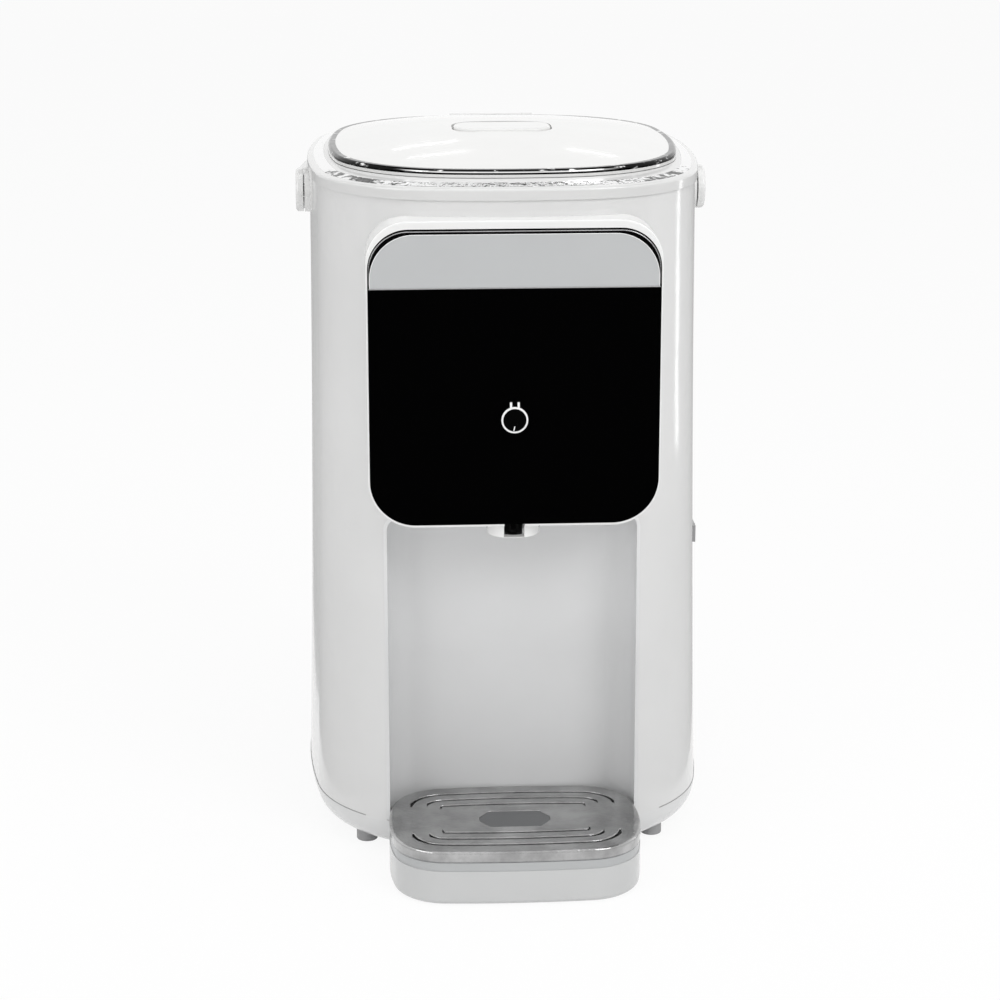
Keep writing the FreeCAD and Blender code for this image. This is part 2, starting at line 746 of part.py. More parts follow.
def tray_notch(extra):
    """Space in the base that the drip tray slides into."""
    return box(
        -ALCOVE_HALF_W - extra,
        ALCOVE_HALF_W + extra,
        -BODY_DEPTH,
        TRAY_REAR_Y + TRAY_GAP + extra,
        -10.0,
        BASE_SEAM_Z + 40,
    )


def base_cover():
    outer = base_volume(0.0, BASE_BOTTOM_Z, BASE_ROUND)
    inner = base_volume(SHELL_WALL, BASE_FLOOR_Z, BASE_ROUND - SHELL_WALL)
    inner = inner.cut(tray_notch(SHELL_WALL))
    cover = outer.cut(inner)
    lip_inset = SHELL_STEP + SHELL_WALL + BASE_LIP_GAP
    spread = flare(BASE_SEAM_Z)
    lip_low = BASE_SEAM_Z - 4
    lip_high = BASE_SEAM_Z + BASE_LIP_H
    lip = body_prism(lip_low, lip_high, lip_inset, spread)
    lip = lip.cut(body_prism(lip_low, lip_high, lip_inset + BASE_LIP_T, spread))
    root = body_prism(lip_low, BASE_SEAM_Z, SHELL_STEP + 1, spread)
    root = root.cut(body_prism(lip_low, BASE_SEAM_Z, lip_inset + BASE_LIP_T, spread))
    cover = cover.fuse([lip, root])
    cover = cover.cut(alcove_space(ALCOVE_WALL + 0.5, BASE_SEAM_Z))
    cover = cover.cut(tray_notch(0.0))
    boss_top = BASE_SEAM_Z + SEAM_GAP
    for x, y in base_screw_spots():
        cover = cover.fuse(rod(BASE_BOSS_R, (x, y, BASE_BOTTOM_Z), boss_top - BASE_BOTTOM_Z))
        cover = cover.cut(rod(BASE_SCREW_R + 0.2, (x, y, 0), boss_top + 1))
        cover = cover.cut(rod(BASE_SCREW_HEAD_R + 0.4, (x, y, 0), BASE_BOTTOM_Z + BASE_SCREW_HEAD_T + 0.4))
        rib_x = math.copysign(BASE_SCREW_X + 22, x)
        slot = box(min(x, rib_x), max(x, rib_x), y - 2.2, y + 2.2, boss_top, BASE_SEAM_Z + 12)
        cover = cover.cut(slot.fuse(rod(BASE_BOSS_R + 0.4, (x, y, boss_top), 20.0)))
    return cover.removeSplitter()


def rubber_feet():
    bowl = base_volume(0.0, BASE_BOTTOM_Z, BASE_ROUND)
    feet = []
    for x, y in FOOT_SPOTS:
        foot = rod(FOOT_R, (x, y, 0), FOOT_TOP_Z)
        foot = foot.makeFillet(0.8, edges_at(foot, 0))
        feet.append(foot.cut(bowl))
    return Part.makeCompound(feet)


def base_screws():
    screws = []
    for x, y in base_screw_spots():
        head_z = BASE_BOTTOM_Z + 0.4
        head = rod(BASE_SCREW_HEAD_R, (x, y, head_z), BASE_SCREW_HEAD_T)
        slot = box(x - 0.5, x + 0.5, y - 3, y + 3, head_z, head_z + 0.9)
        shank = rod(BASE_SCREW_R - 0.03, (x, y, head_z + BASE_SCREW_HEAD_T), BASE_SCREW_L)
        screws.append(head.cut(slot).fuse(shank))
    return Part.makeCompound(screws)


# ---------------------------------------------------------------- front panel
def face_recess(z0, z1, r_low, r_high, inset, y0, y1):
    half = PANEL_HALF_W - BEZEL_SIDE_EDGE - inset
    return round_rect_y(half, z0, z1, r_low, r_high, y0, y1)


def recess_low_z():
    return PANEL_BOTTOM_Z + BEZEL_BOTTOM_EDGE


def recess_high_z():
    return PANEL_TOP_Z - BEZEL_TOP_EDGE


def panel_bezel(envelope):
    block = round_rect_y(
        PANEL_HALF_W, PANEL_BOTTOM_Z, PANEL_TOP_Z, PANEL_LOW_R, PANEL_HIGH_R, PANEL_Y, -90.0
    )
    front = [e for e in block.Edges if abs(e.BoundBox.YMax - PANEL_Y) < 1e-4]
    block = block.makeFillet(BEZEL_FRONT_R, front)
    bezel = block.cut(envelope)
    low_r = PANEL_LOW_R - BEZEL_SIDE_EDGE
    high_r = PANEL_HIGH_R - BEZEL_SIDE_EDGE
    low = recess_low_z()
    high = recess_high_z()
    seat_y = PANEL_Y + FACE_T + 0.3
    bezel = bezel.cut(face_recess(low, high, low_r, high_r, 0.0, PANEL_Y - 1, seat_y))
    seat = BEZEL_SEAT_W
    bezel = bezel.cut(
        face_recess(low + BEZEL_SEAT_DROP, high - seat, low_r - seat, high_r - seat, seat, PANEL_Y, -80.0)
    )
    bezel = bezel.cut(rod(NOZZLE_NECK_R + HOLE_FIT, (0, SPOUT_Y, PANEL_BOTTOM_Z - 5), 20.0))
    half = SHROUD_NOTCH_W / 2
    bezel = bezel.cut(box(-half, half, PANEL_Y - 1, SPOUT_Y - NOZZLE_R, PANEL_BOTTOM_Z - 1, low))
    solids = sorted(bezel.Solids, key=lambda s: s.Volume)
    return solids[-1]


def face_blank(z0, z1, r_low, r_high, inset):
    front = PANEL_Y + 0.1
    return face_recess(z0, z1, r_low, r_high, inset, front, front + FACE_T)


def panel_trim():
    """Bright arch around the upper band, closed by a thin bar under the band."""
    top = recess_high_z() - FACE_GAP
    low = GLASS_SPLIT_Z + 0.1
    outer_r = PANEL_HIGH_R - BEZEL_SIDE_EDGE - FACE_GAP
    outer = face_blank(low, top, 0.2, outer_r, FACE_GAP)
    inset = FACE_GAP + TRIM_SIDE_W
    return outer.cut(face_blank(low + TRIM_BAR_H, top - TRIM_TOP_W, 0.2, BAND_CORNER_R, inset))


def upper_band():
    top = recess_high_z() - FACE_GAP - TRIM_TOP_W - 0.05
    inset = FACE_GAP + TRIM_SIDE_W + 0.05
    return face_blank(GLASS_SPLIT_Z + TRIM_BAR_H + 0.15, top, 0.2, BAND_CORNER_R - 0.05, inset)


def glass_panel():
    low_r = PANEL_LOW_R - BEZEL_SIDE_EDGE - FACE_GAP
    glass = face_blank(recess_low_z() + FACE_GAP, GLASS_SPLIT_Z - 0.1, low_r, 0.2, FACE_GAP)
    return glass.cut(rod(BUTTON_SLEEVE_R + 0.05, (0, PANEL_Y - 1, BUTTON_Z), 10.0, Y_AXIS))


def button_ring():
    front = PANEL_Y + 0.1
    flange = rod(BUTTON_RING_R, (0, front - BUTTON_RING_PROUD, BUTTON_Z), BUTTON_RING_PROUD, Y_AXIS)
    rim = [e for e in flange.Edges if abs(e.BoundBox.YMax - (front - BUTTON_RING_PROUD)) < 1e-4]
    flange = flange.makeFillet(0.5, rim)
    sleeve = rod(BUTTON_SLEEVE_R, (0, front, BUTTON_Z), FACE_T, Y_AXIS)
    lugs = []
    for side in (-1, 1):
        x = side * BUTTON_LUG_X
        lug = box(
            x - BUTTON_LUG_W / 2,
            x + BUTTON_LUG_W / 2,
            front - BUTTON_RING_PROUD,
            front,
            BUTTON_Z + BUTTON_RING_R - 1,
            BUTTON_Z + BUTTON_RING_R + BUTTON_LUG_H,
        )
        lugs.append(lug)
    ring = flange.fuse([sleeve] + lugs)
    bore_r = BUTTON_CAP_R + BUTTON_FIT
    return ring.cut(rod(bore_r, (0, front - 5, BUTTON_Z), 15.0, Y_AXIS)).removeSplitter()


def button_back_y():
    """Rear face of the button's retaining flange, at rest."""
    return PANEL_Y + 0.1 + FACE_T + 1.3


def dispense_button():
    face_y = PANEL_Y - 0.6
    flange_y = PANEL_Y + 0.1 + FACE_T + 0.3
    cap = rod(BUTTON_CAP_R, (0, face_y, BUTTON_Z), flange_y - face_y, Y_AXIS)
    rim = [e for e in cap.Edges if abs(e.BoundBox.YMax - face_y) < 1e-4]
    cap = cap.makeFillet(0.5, rim)
    flange = rod(BUTTON_SLEEVE_R, (0, flange_y, BUTTON_Z), button_back_y() - flange_y, Y_AXIS)
    tip_y = BOARD_Y - TACT_HEIGHT - 2.2 - BUTTON_TRAVEL - 0.3
    stem = rod(BUTTON_STEM_R, (0, button_back_y(), BUTTON_Z), tip_y - button_back_y(), Y_AXIS)
    return cap.fuse([flange, stem]).removeSplitter()


def button_spring():
    length = BOARD_Y - button_back_y()
    spring = coil(SPRING_R, SPRING_WIRE_R, length - 2 * SPRING_WIRE_R - 0.1, SPRING_TURNS)
    spring.rotate(Vec(0, 0, 0), X_AXIS, -90)
    spring.translate(Vec(0, button_back_y() + SPRING_WIRE_R + 0.05, BUTTON_Z))
    return spring


def tact_switch():
    half = TACT_SIZE / 2
    body = box(-half, half, BOARD_Y - TACT_HEIGHT, BOARD_Y, BUTTON_Z - half, BUTTON_Z + half)
    plunger_y = BOARD_Y - TACT_HEIGHT - 2.2
    plunger = rod(TACT_PLUNGER_R, (0, plunger_y, BUTTON_Z), 2.2, Y_AXIS)
    return body.fuse(plunger).removeSplitter()


def board_post_spots():
    low = BOARD_LOW_Z + 7
    high = BOARD_HIGH_Z - 7
    return [(x, z) for x in (-BOARD_POST_X, BOARD_POST_X) for z in (low, high)]


def board_posts():
    start = PANEL_Y + 0.1 + FACE_T
    posts = [rod(BOARD_POST_R, (x, start, z), BOARD_Y - start, Y_AXIS) for x, z in board_post_spots()]
    return Part.makeCompound(posts)


def control_board():
    back = BOARD_Y + BOARD_T
    board = box(-BOARD_HALF_W, BOARD_HALF_W, BOARD_Y, back, BOARD_LOW_Z, BOARD_HIGH_Z)
    parts = [box(-14, 14, back, back + 2, BOARD_LOW_Z + 45, BOARD_LOW_Z + 73)]
    parts.append(box(-40, -20, back, back + 12, BOARD_LOW_Z + 6, BOARD_LOW_Z + 18))
    parts.append(box(20, 44, back, back + 9, BOARD_LOW_Z + 6, BOARD_LOW_Z + 16))
    parts.append(box(24, 40, back, back + 14, BOARD_LOW_Z + 50, BOARD_LOW_Z + 68))
    for x in (-40.0, -28.0):
        parts.append(rod(4.0, (x, back, BOARD_LOW_Z + 58), 12.0, Y_AXIS))
    board = board.fuse(parts)
    return board.removeSplitter()


# ---------------------------------------------------------------- alcove, spout
def alcove_panel(envelope):
    low = BASE_SEAM_Z + SEAM_GAP
    liner = alcove_space(ALCOVE_WALL, low).cut(alcove_space(0.0, low - 5))
    liner = liner.common(envelope)
    liner = liner.cut(rod(NOZZLE_NECK_R + HOLE_FIT, (0, SPOUT_Y, PANEL_BOTTOM_Z - 5), 20.0))
    solids = sorted(liner.Solids, key=lambda s: s.Volume)
    return solids[-1]


def shroud_block():
    half = SHROUD_DEPTH / 2
    return round_slab(
        SHROUD_LENGTH / 2,
        SPOUT_Y - half,
        SPOUT_Y + half,
        SHROUD_CORNER_R,
        SHROUD_BOTTOM_Z,
        PANEL_BOTTOM_Z,
    )


def spout_shroud():
    cup = shroud_block()
    cup = cup.makeFillet(1.0, edges_at(cup, SHROUD_BOTTOM_Z))
    cup = cup.cut(rod(SHROUD_BORE_R, (0, SPOUT_Y, SHROUD_BOTTOM_Z - 1), 20.0))
    notch = box(
        -SHROUD_NOTCH_W / 2,
        SHROUD_NOTCH_W / 2,
        SPOUT_Y - SHROUD_DEPTH / 2 - 1,
        SPOUT_Y,
        SHROUD_BOTTOM_Z + SHROUD_LIP,
        PANEL_BOTTOM_Z + 1,
    )
    return cup.cut(notch)


def spout_guard():
    """Dark flared skirt around the sides and back of the shroud."""
    start = Vec(0, SPOUT_Y, PANEL_BOTTOM_Z - GUARD_H)
    skirt = Part.makeCone(GUARD_LOW_R, GUARD_R, GUARD_H, start)
    front = SPOUT_Y - GUARD_FRONT
    skirt = skirt.common(box(-GUARD_R, GUARD_R, front, SPOUT_Y + GUARD_R, start.z, PANEL_BOTTOM_Z))
    return skirt.cut(shroud_block())


def nozzle():
    ceiling_top = recess_low_z() + BEZEL_SEAT_DROP
    spout = rod(NOZZLE_R, (0, SPOUT_Y, NOZZLE_BOTTOM_Z), PANEL_BOTTOM_Z - 0.2 - NOZZLE_BOTTOM_Z)
    neck = rod(NOZZLE_NECK_R, (0, SPOUT_Y, NOZZLE_BOTTOM_Z), ceiling_top - NOZZLE_BOTTOM_Z)
    head = rod(NOZZLE_HEAD_R, (0, SPOUT_Y, ceiling_top), NOZZLE_HEAD_TOP_Z - ceiling_top)
    barb_y = SPOUT_Y + NOZZLE_HEAD_R
    barb = rod(BARB_R, (0, SPOUT_Y, ELBOW_Z), NOZZLE_HEAD_R + BARB_LENGTH, Y_AXIS)
    body = spout.fuse([neck, head, barb])
    body = body.cut(rod(NOZZLE_BORE_R, (0, SPOUT_Y, NOZZLE_BOTTOM_Z - 1), ELBOW_Z - NOZZLE_BOTTOM_Z + 1))
    body = body.cut(rod(BARB_BORE_R, (0, SPOUT_Y, ELBOW_Z), barb_y - SPOUT_Y + BARB_LENGTH + 1, Y_AXIS))
    return body.removeSplitter()


# ---------------------------------------------------------------- tank and pump
def syrup_tank():
    outer = [
        (TANK_OUTER_R, COLLAR_LEDGE_Z),
        (TANK_OUTER_R, TANK_CONE_TOP_Z),
        (TANK_NECK_R, TANK_CONE_BOTTOM_Z),
        (TANK_NECK_R, TANK_NECK_BOTTOM_Z),
        (TANK_NECK_R - TANK_WALL, TANK_NECK_BOTTOM_Z),
        (TANK_NECK_R - TANK_WALL, TANK_CONE_BOTTOM_Z),
        (TANK_INNER_R, TANK_CONE_TOP_Z),
        (TANK_INNER_R, TANK_RIM_Z),
        (TANK_OUTER_R + TANK_FLANGE_W, TANK_RIM_Z),
        (TANK_OUTER_R + TANK_FLANGE_W, COLLAR_LEDGE_Z),
        (TANK_OUTER_R, COLLAR_LEDGE_Z),
    ]
    wire = Part.makePolygon([Vec(r, 0, z) for r, z in outer])
    return Part.Face(wire).revolve(Vec(0, 0, 0), Z_AXIS, 360)


def tank_outlet():
    top = TANK_NECK_BOTTOM_Z + 10
    low = TANK_NECK_BOTTOM_Z - 4
    nut = rod(TANK_NECK_R + 3, (0, 0, low), top - low)
    nut = nut.cut(rod(TANK_NECK_R, (0, 0, TANK_NECK_BOTTOM_Z), 20.0))
    barb = rod(BARB_R, (0, 0, low - BARB_LENGTH), BARB_LENGTH)
    fitting = nut.fuse(barb)
    fitting = fitting.cut(rod(BARB_BORE_R, (0, 0, low - BARB_LENGTH - 1), BARB_LENGTH + 10))
    return fitting.removeSplitter()


def outlet_strainer():
    disc_r = TANK_NECK_R - TANK_WALL - 0.05
    disc = rod(disc_r, (0, 0, TANK_NECK_BOTTOM_Z + 10), 1.5)
    holes = [rod(1.4, (0, 0, TANK_NECK_BOTTOM_Z), 20.0)]
    for ring_r, count in ((4.2, 6), (8.0, 12)):
        for i in range(count):
            angle = 2 * math.pi * i / count
            spot = (ring_r * math.cos(angle), ring_r * math.sin(angle), TANK_NECK_BOTTOM_Z)
            holes.append(rod(1.4, spot, 20.0))
    return disc.cut(holes)


def suction_hose():
    top = TANK_NECK_BOTTOM_Z - 4.3
    points = (
        (0, 0, top),
        (0, 0, SUCTION_TURN_Z),
        (SUCTION_SIDE_X, PORT_Y, SUCTION_LOW_Z),
        (SUCTION_SIDE_X, PORT_Y, PORT_Z),
        (PUMP_HALF_W + 0.5, PORT_Y, PORT_Z),
    )
    return hose(points, SUCTION_BENDS)


def delivery_hose():
    points = (
        (-PUMP_HALF_W - 0.5, PORT_Y, PORT_Z),
        (DELIVERY_SIDE_X, PORT_Y, PORT_Z),
        (DELIVERY_SIDE_X, *DELIVERY_LOW),
        (DELIVERY_SIDE_X, *DELIVERY_HIGH),
        (0, DELIVERY_RISER_Y, DELIVERY_MIDDLE_Z),
        (0, DELIVERY_RISER_Y, ELBOW_Z),
        (0, SPOUT_Y + NOZZLE_HEAD_R + 0.3, ELBOW_Z),
    )
    return hose(points, DELIVERY_BENDS)


def involute_spot(base_r, radius):
    """Polar angle by which an involute has turned where it reaches a radius."""
    tangent = math.sqrt(max((radius / base_r) ** 2 - 1, 0.0))
    return tangent - math.atan(tangent)


def gear_face(start_angle):
    """Spur gear outline in the XZ plane, its first tooth at start_angle degrees from +X."""
    base_r = GEAR_PITCH_R * math.cos(math.radians(PRESSURE_ANGLE))
    tooth_half = (math.pi * GEAR_MODULE / 2 - GEAR_BACKLASH / 2) / 2 / GEAR_PITCH_R
    at_pitch = involute_spot(base_r, GEAR_PITCH_R)
    flank_low = max(base_r, GEAR_ROOT_R)
    radii = [flank_low + (GEAR_TIP_R - flank_low) * i / 4 for i in range(5)]

    def spot(radius, angle):
        return Vec(radius * math.cos(angle), 0, radius * math.sin(angle))

    edges = []
    previous = None
    first = None
    for tooth in range(GEAR_TEETH):
        middle = math.radians(start_angle) + 2 * math.pi * tooth / GEAR_TEETH
        halves = [tooth_half + at_pitch - involute_spot(base_r, r) for r in radii]
        rising = [spot(r, middle - h) for r, h in zip(radii, halves)]
        falling = [spot(r, middle + h) for r, h in zip(reversed(radii), reversed(halves))]
        root_in = spot(GEAR_ROOT_R, middle - halves[0])
        root_out = spot(GEAR_ROOT_R, middle + halves[0])
        if previous is None:
            first = root_in
        else:
            edges.append(Part.makeLine(previous, root_in))
        if (root_in - rising[0]).Length > 1e-4:
            edges.append(Part.makeLine(root_in, rising[0]))
        up = Part.BSplineCurve()
        up.interpolate(rising)
        edges.append(up.toShape())
        edges.append(Part.makeLine(rising[-1], falling[0]))
        down = Part.BSplineCurve()
        down.interpolate(falling)
        edges.append(down.toShape())
        if (root_out - falling[-1]).Length > 1e-4:
            edges.append(Part.makeLine(falling[-1], root_out))
        previous = root_out
    edges.append(Part.makeLine(previous, first))
    return Part.Face(Part.Wire(edges))


def gear(z, start_angle):
    body = gear_face(start_angle).extrude(Vec(0, GEAR_WIDTH, 0))
    body.translate(Vec(0, PUMP_CAVITY_FRONT_Y + GEAR_END_GAP, z))
    return body.cut(rod(PUMP_SHAFT_R, (0, PUMP_FRONT_Y, z), 60.0, Y_AXIS))


def shaft_bore_r():
    return PUMP_SHAFT_R + RUNNING_CLEARANCE


def pump_screw_spots():
    reach = PUMP_HALF_W - 4.5
    low = PUMP_Z - reach
    high = IDLER_Z + reach
    return [(x, z) for x in (-reach, reach) for z in (low, high)]


def pump_block(y0, y1):
    reach = PUMP_HALF_W
    block = box(-reach, reach, y0, y1, PUMP_Z - reach, IDLER_Z + reach)
    along = [e for e in block.Edges if abs(e.tangentAt(e.FirstParameter).y) > 0.99]
    return block.makeFillet(6.0, along)


def pump_body():
    body = pump_block(PUMP_FRONT_Y, PUMP_COVER_Y)
    chamber_r = GEAR_TIP_R + GEAR_TIP_FIT
    depth = PUMP_COVER_Y - PUMP_CAVITY_FRONT_Y
    for z in (PUMP_Z, IDLER_Z):
        body = body.cut(rod(chamber_r, (0, PUMP_CAVITY_FRONT_Y, z), depth, Y_AXIS))
        blind_y = PUMP_CAVITY_FRONT_Y - PUMP_SHAFT_BLIND
        body = body.cut(rod(shaft_bore_r(), (0, blind_y, z), PUMP_SHAFT_BLIND, Y_AXIS))
    barb_end = PUMP_HALF_W + BARB_LENGTH
    for side in (-1, 1):
        heading = Vec(side, 0, 0)
        body = body.fuse(rod(BARB_R, (side * (PUMP_HALF_W - 2), PORT_Y, PORT_Z), BARB_LENGTH + 2, heading))
        body = body.cut(rod(BARB_BORE_R, (side * 4, PORT_Y, PORT_Z), barb_end, heading))
    for x, z in pump_screw_spots():
        body = body.cut(rod(1.65, (x, PUMP_COVER_Y - 10, z), 12.0, Y_AXIS))
    return body.removeSplitter()


def pump_cover():
    cover = pump_block(PUMP_COVER_Y, PUMP_BACK_Y)
    cover = cover.cut(rod(shaft_bore_r(), (0, PUMP_COVER_Y - 1, PUMP_Z), 20.0, Y_AXIS))
    cover = cover.cut(rod(shaft_bore_r(), (0, PUMP_COVER_Y, IDLER_Z), 4.0, Y_AXIS))
    for x, z in pump_screw_spots():
        cover = cover.cut(rod(1.8, (x, PUMP_COVER_Y - 1, z), 12.0, Y_AXIS))
    return cover.removeSplitter()


def pump_bracket():
    """Pedestal plate with spacer sleeves that carry the pump off the motor plate."""
    plate_y = MOTOR_FACE_Y - BRACKET_T
    top = IDLER_Z + PUMP_HALF_W
    foot_z = BASE_FLOOR_Z
    plate = box(-BRACKET_HALF_W, BRACKET_HALF_W, plate_y, MOTOR_FACE_Y, foot_z, top)
    foot = box(-BRACKET_HALF_W, BRACKET_HALF_W, PUMP_FRONT_Y, MOTOR_FACE_Y, foot_z, foot_z + BRACKET_T)
    sleeves = []
    for x, z in pump_screw_spots():
        sleeves.append(rod(SPACER_R, (x, PUMP_BACK_Y, z), plate_y - PUMP_BACK_Y + 1, Y_AXIS))
    bracket = plate.fuse([foot] + sleeves)
    bracket = bracket.cut(rod(COUPLING_R + 2, (0, plate_y - 1, PUMP_Z), 10.0, Y_AXIS))
    for x, z in pump_screw_spots():
        bracket = bracket.cut(rod(1.8, (x, PUMP_BACK_Y - 1, z), 60.0, Y_AXIS))
    return bracket.removeSplitter()


def pump_screws():
    screws = []
    for x, z in pump_screw_spots():
        shank_end = PUMP_COVER_Y - 9
        shank = rod(1.6, (x, shank_end, z), MOTOR_FACE_Y - shank_end, Y_AXIS)
        head = rod(3.0, (x, MOTOR_FACE_Y, z), 2.4, Y_AXIS)
        screws.append(shank.fuse(head))
    return Part.makeCompound(screws)


def gear_motor():
    gearbox = rod(MOTOR_R, (0, MOTOR_FACE_Y, PUMP_Z), MOTOR_GEARBOX_L, Y_AXIS)
    can = rod(MOTOR_CAN_R, (0, MOTOR_FACE_Y + MOTOR_GEARBOX_L, PUMP_Z), MOTOR_CAN_L, Y_AXIS)
    end_y = MOTOR_FACE_Y + MOTOR_GEARBOX_L + MOTOR_CAN_L
    cap = rod(7.0, (0, end_y, PUMP_Z), 3.0, Y_AXIS)
    motor = gearbox.fuse([can, cap])
    motor = motor.cut(rod(shaft_bore_r(), (0, MOTOR_FACE_Y - 1, PUMP_Z), 13.0, Y_AXIS))
    for x, z in pump_screw_spots():
        motor = motor.cut(rod(3.6, (x, MOTOR_FACE_Y - 1, z), 5.0, Y_AXIS))
    return motor.removeSplitter()


def motor_saddle():
    """Cradle under the motor, standing on the base."""
    y0 = MOTOR_FACE_Y + MOTOR_GEARBOX_L + SADDLE_BEHIND_GEARBOX
    y1 = y0 + SADDLE_LENGTH
    block = box(-SADDLE_HALF_W, SADDLE_HALF_W, y0, y1, BASE_FLOOR_Z, PUMP_Z)
    return block.cut(rod(MOTOR_CAN_R + 0.3, (0, y0 - 1, PUMP_Z), SADDLE_LENGTH + 2, Y_AXIS))


def drive_shaft():
    start = PUMP_CAVITY_FRONT_Y - PUMP_SHAFT_BLIND + 0.5
    end = MOTOR_FACE_Y + 11
    return rod(PUMP_SHAFT_R, (0, start, PUMP_Z), end - start, Y_AXIS)


def shaft_coupling():
    start = PUMP_BACK_Y + 1.5
    body = rod(COUPLING_R, (0, start, PUMP_Z), COUPLING_LENGTH, Y_AXIS)
    groove = tube(COUPLING_R + 1, COUPLING_R - 1.5, (0, start + COUPLING_LENGTH / 2 - 1, PUMP_Z), 2.0, Y_AXIS)
    body = body.cut(groove)
    return body.cut(rod(PUMP_SHAFT_R, (0, start - 1, PUMP_Z), COUPLING_LENGTH + 2, Y_AXIS))


def idler_shaft():
    start = PUMP_CAVITY_FRONT_Y - PUMP_SHAFT_BLIND + 0.5
    end = PUMP_COVER_Y + 3.5
    return rod(PUMP_SHAFT_R, (0, start, IDLER_Z), end - start, Y_AXIS)


# ---------------------------------------------------------------- power
def power_supply():
    width, depth, height = SUPPLY_SIZE
    x0, y0 = SUPPLY_CORNER
    z0 = BASE_FLOOR_Z + SUPPLY_POST_H
    case = box(x0, x0 + width, y0, y0 + depth, z0, z0 + height)
    for i in range(6):
        slot_y = y0 + 14 + i * 9
        case = case.cut(box(x0 + 10, x0 + width - 10, slot_y, slot_y + 3, z0 + height - 1.2, z0 + height))
    posts = []
    for x in (x0 + 6, x0 + width - 6):
        for y in (y0 + 6, y0 + depth - 6):
            posts.append(rod(3.0, (x, y, BASE_FLOOR_Z), SUPPLY_POST_H))
    return case.fuse(posts).removeSplitter()


def power_inlet(envelope):
    wall_y = inlet_y()
    half_w = INLET_FLANGE_W / 2
    half_h = INLET_FLANGE_H / 2
    flange = box(
        INLET_X - half_w,
        INLET_X + half_w,
        wall_y - 12,
        wall_y + INLET_PROUD,
        INLET_Z - half_h,
        INLET_Z + half_h,
    ).cut(envelope)
    half_w = INLET_BODY_W / 2
    half_h = INLET_BODY_H / 2
    body = box(
        INLET_X - half_w,
        INLET_X + half_w,
        wall_y - INLET_BODY_D,
        wall_y + INLET_PROUD,
        INLET_Z - half_h,
        INLET_Z + half_h,
    )
    inlet = body.fuse(flange).removeSplitter()
    half_w -= INLET_WALL
    half_h -= INLET_WALL
    cavity = box(
        INLET_X - half_w,
        INLET_X + half_w,
        wall_y - INLET_CAVITY_D,
        wall_y + 10,
        INLET_Z - half_h,
        INLET_Z + half_h,
    )
    return inlet.cut(cavity)


def inlet_pins():
    """Three contact blades standing in the inlet's cavity."""
    start = inlet_y() - INLET_CAVITY_D
    pins = []
    for x, z in INLET_PINS:
        pins.append(
            box(
                INLET_X + x - INLET_PIN_HALF_W,
                INLET_X + x + INLET_PIN_HALF_W,
                start,
                start + INLET_PIN_L,
                INLET_Z + z - INLET_PIN_HALF_H,
                INLET_Z + z + INLET_PIN_HALF_H,
            )
        )
    return Part.makeCompound(pins)


def switch_frame(envelope):
    face_x = switch_x()
    half_l = SWITCH_FLANGE_L / 2
    half_h = SWITCH_FLANGE_H / 2
    flange = box(
        face_x - 3,
        face_x + SWITCH_PROUD,
        SWITCH_Y - half_l,
        SWITCH_Y + half_l,
        SWITCH_Z - half_h,
        SWITCH_Z + half_h,
    ).cut(envelope)
    half_l = SWITCH_BODY_L / 2
    half_h = SWITCH_BODY_H / 2
    body = box(
        face_x - SWITCH_BODY_D,
        face_x + SWITCH_PROUD,
        SWITCH_Y - half_l,
        SWITCH_Y + half_l,
        SWITCH_Z - half_h,
        SWITCH_Z + half_h,
    )
    frame = body.fuse(flange).removeSplitter()
    half_l -= SWITCH_WALL
    half_h -= SWITCH_WALL
    well = box(
        face_x - SWITCH_BODY_D + 2,
        face_x + 5,
        SWITCH_Y - half_l,
        SWITCH_Y + half_l,
        SWITCH_Z - half_h,
        SWITCH_Z + half_h,
    )
    frame = frame.cut(well)
    pin_r = ROCKER_PIN_R + RUNNING_CLEARANCE
    return frame.cut(rod(pin_r, (face_x - 1.5, SWITCH_Y, SWITCH_Z - 10), 20.0))


def power_rocker():
    pivot_x = switch_x() - 1.5
    half_h = SWITCH_BODY_H / 2 - SWITCH_WALL - 0.15
    barrel = rod(ROCKER_R, (pivot_x, SWITCH_Y, SWITCH_Z - half_h), 2 * half_h)
    keep = box(pivot_x - 4, pivot_x + 3.2, SWITCH_Y - 10, SWITCH_Y + 10, SWITCH_Z - 10, SWITCH_Z + 10)
    rocker = barrel.common(keep)
    pin = rod(ROCKER_PIN_R, (pivot_x, SWITCH_Y, SWITCH_Z - SWITCH_BODY_H / 2), SWITCH_BODY_H)
    rocker = rocker.fuse(pin)
    rocker.rotate(Vec(pivot_x, SWITCH_Y, 0), Z_AXIS, -ROCKER_TILT)
    return rocker


# ---------------------------------------------------------------- lid
def dome(edge_z, inset):
    """Low dome whose outline shrinks towards its top."""
    wires = []
    for share in (1.0, 0.82, 0.62, 0.42, 0.22, 0.06):
        z = edge_z + DOME_RISE * (1 - share**2)
        wires.append(lid_outline(z, LID_RING_W + inset, share))
    return Part.makeLoft(wires, True, False)


def lever_well(extra, floor_z):
    """Recess around the lid lever, made larger all round by extra."""
    half = LEVER_LENGTH / 2 + LEVER_SIDE_GAP + extra
    front = LEVER_FRONT_Y - LEVER_SIDE_GAP - extra
    rear = LEVER_REAR_Y + LEVER_SWING_GAP + extra
    return round_slab(half, front, rear, LEVER_CORNER_R + LEVER_SIDE_GAP + extra, floor_z, LEVER_TOP_Z + 8)


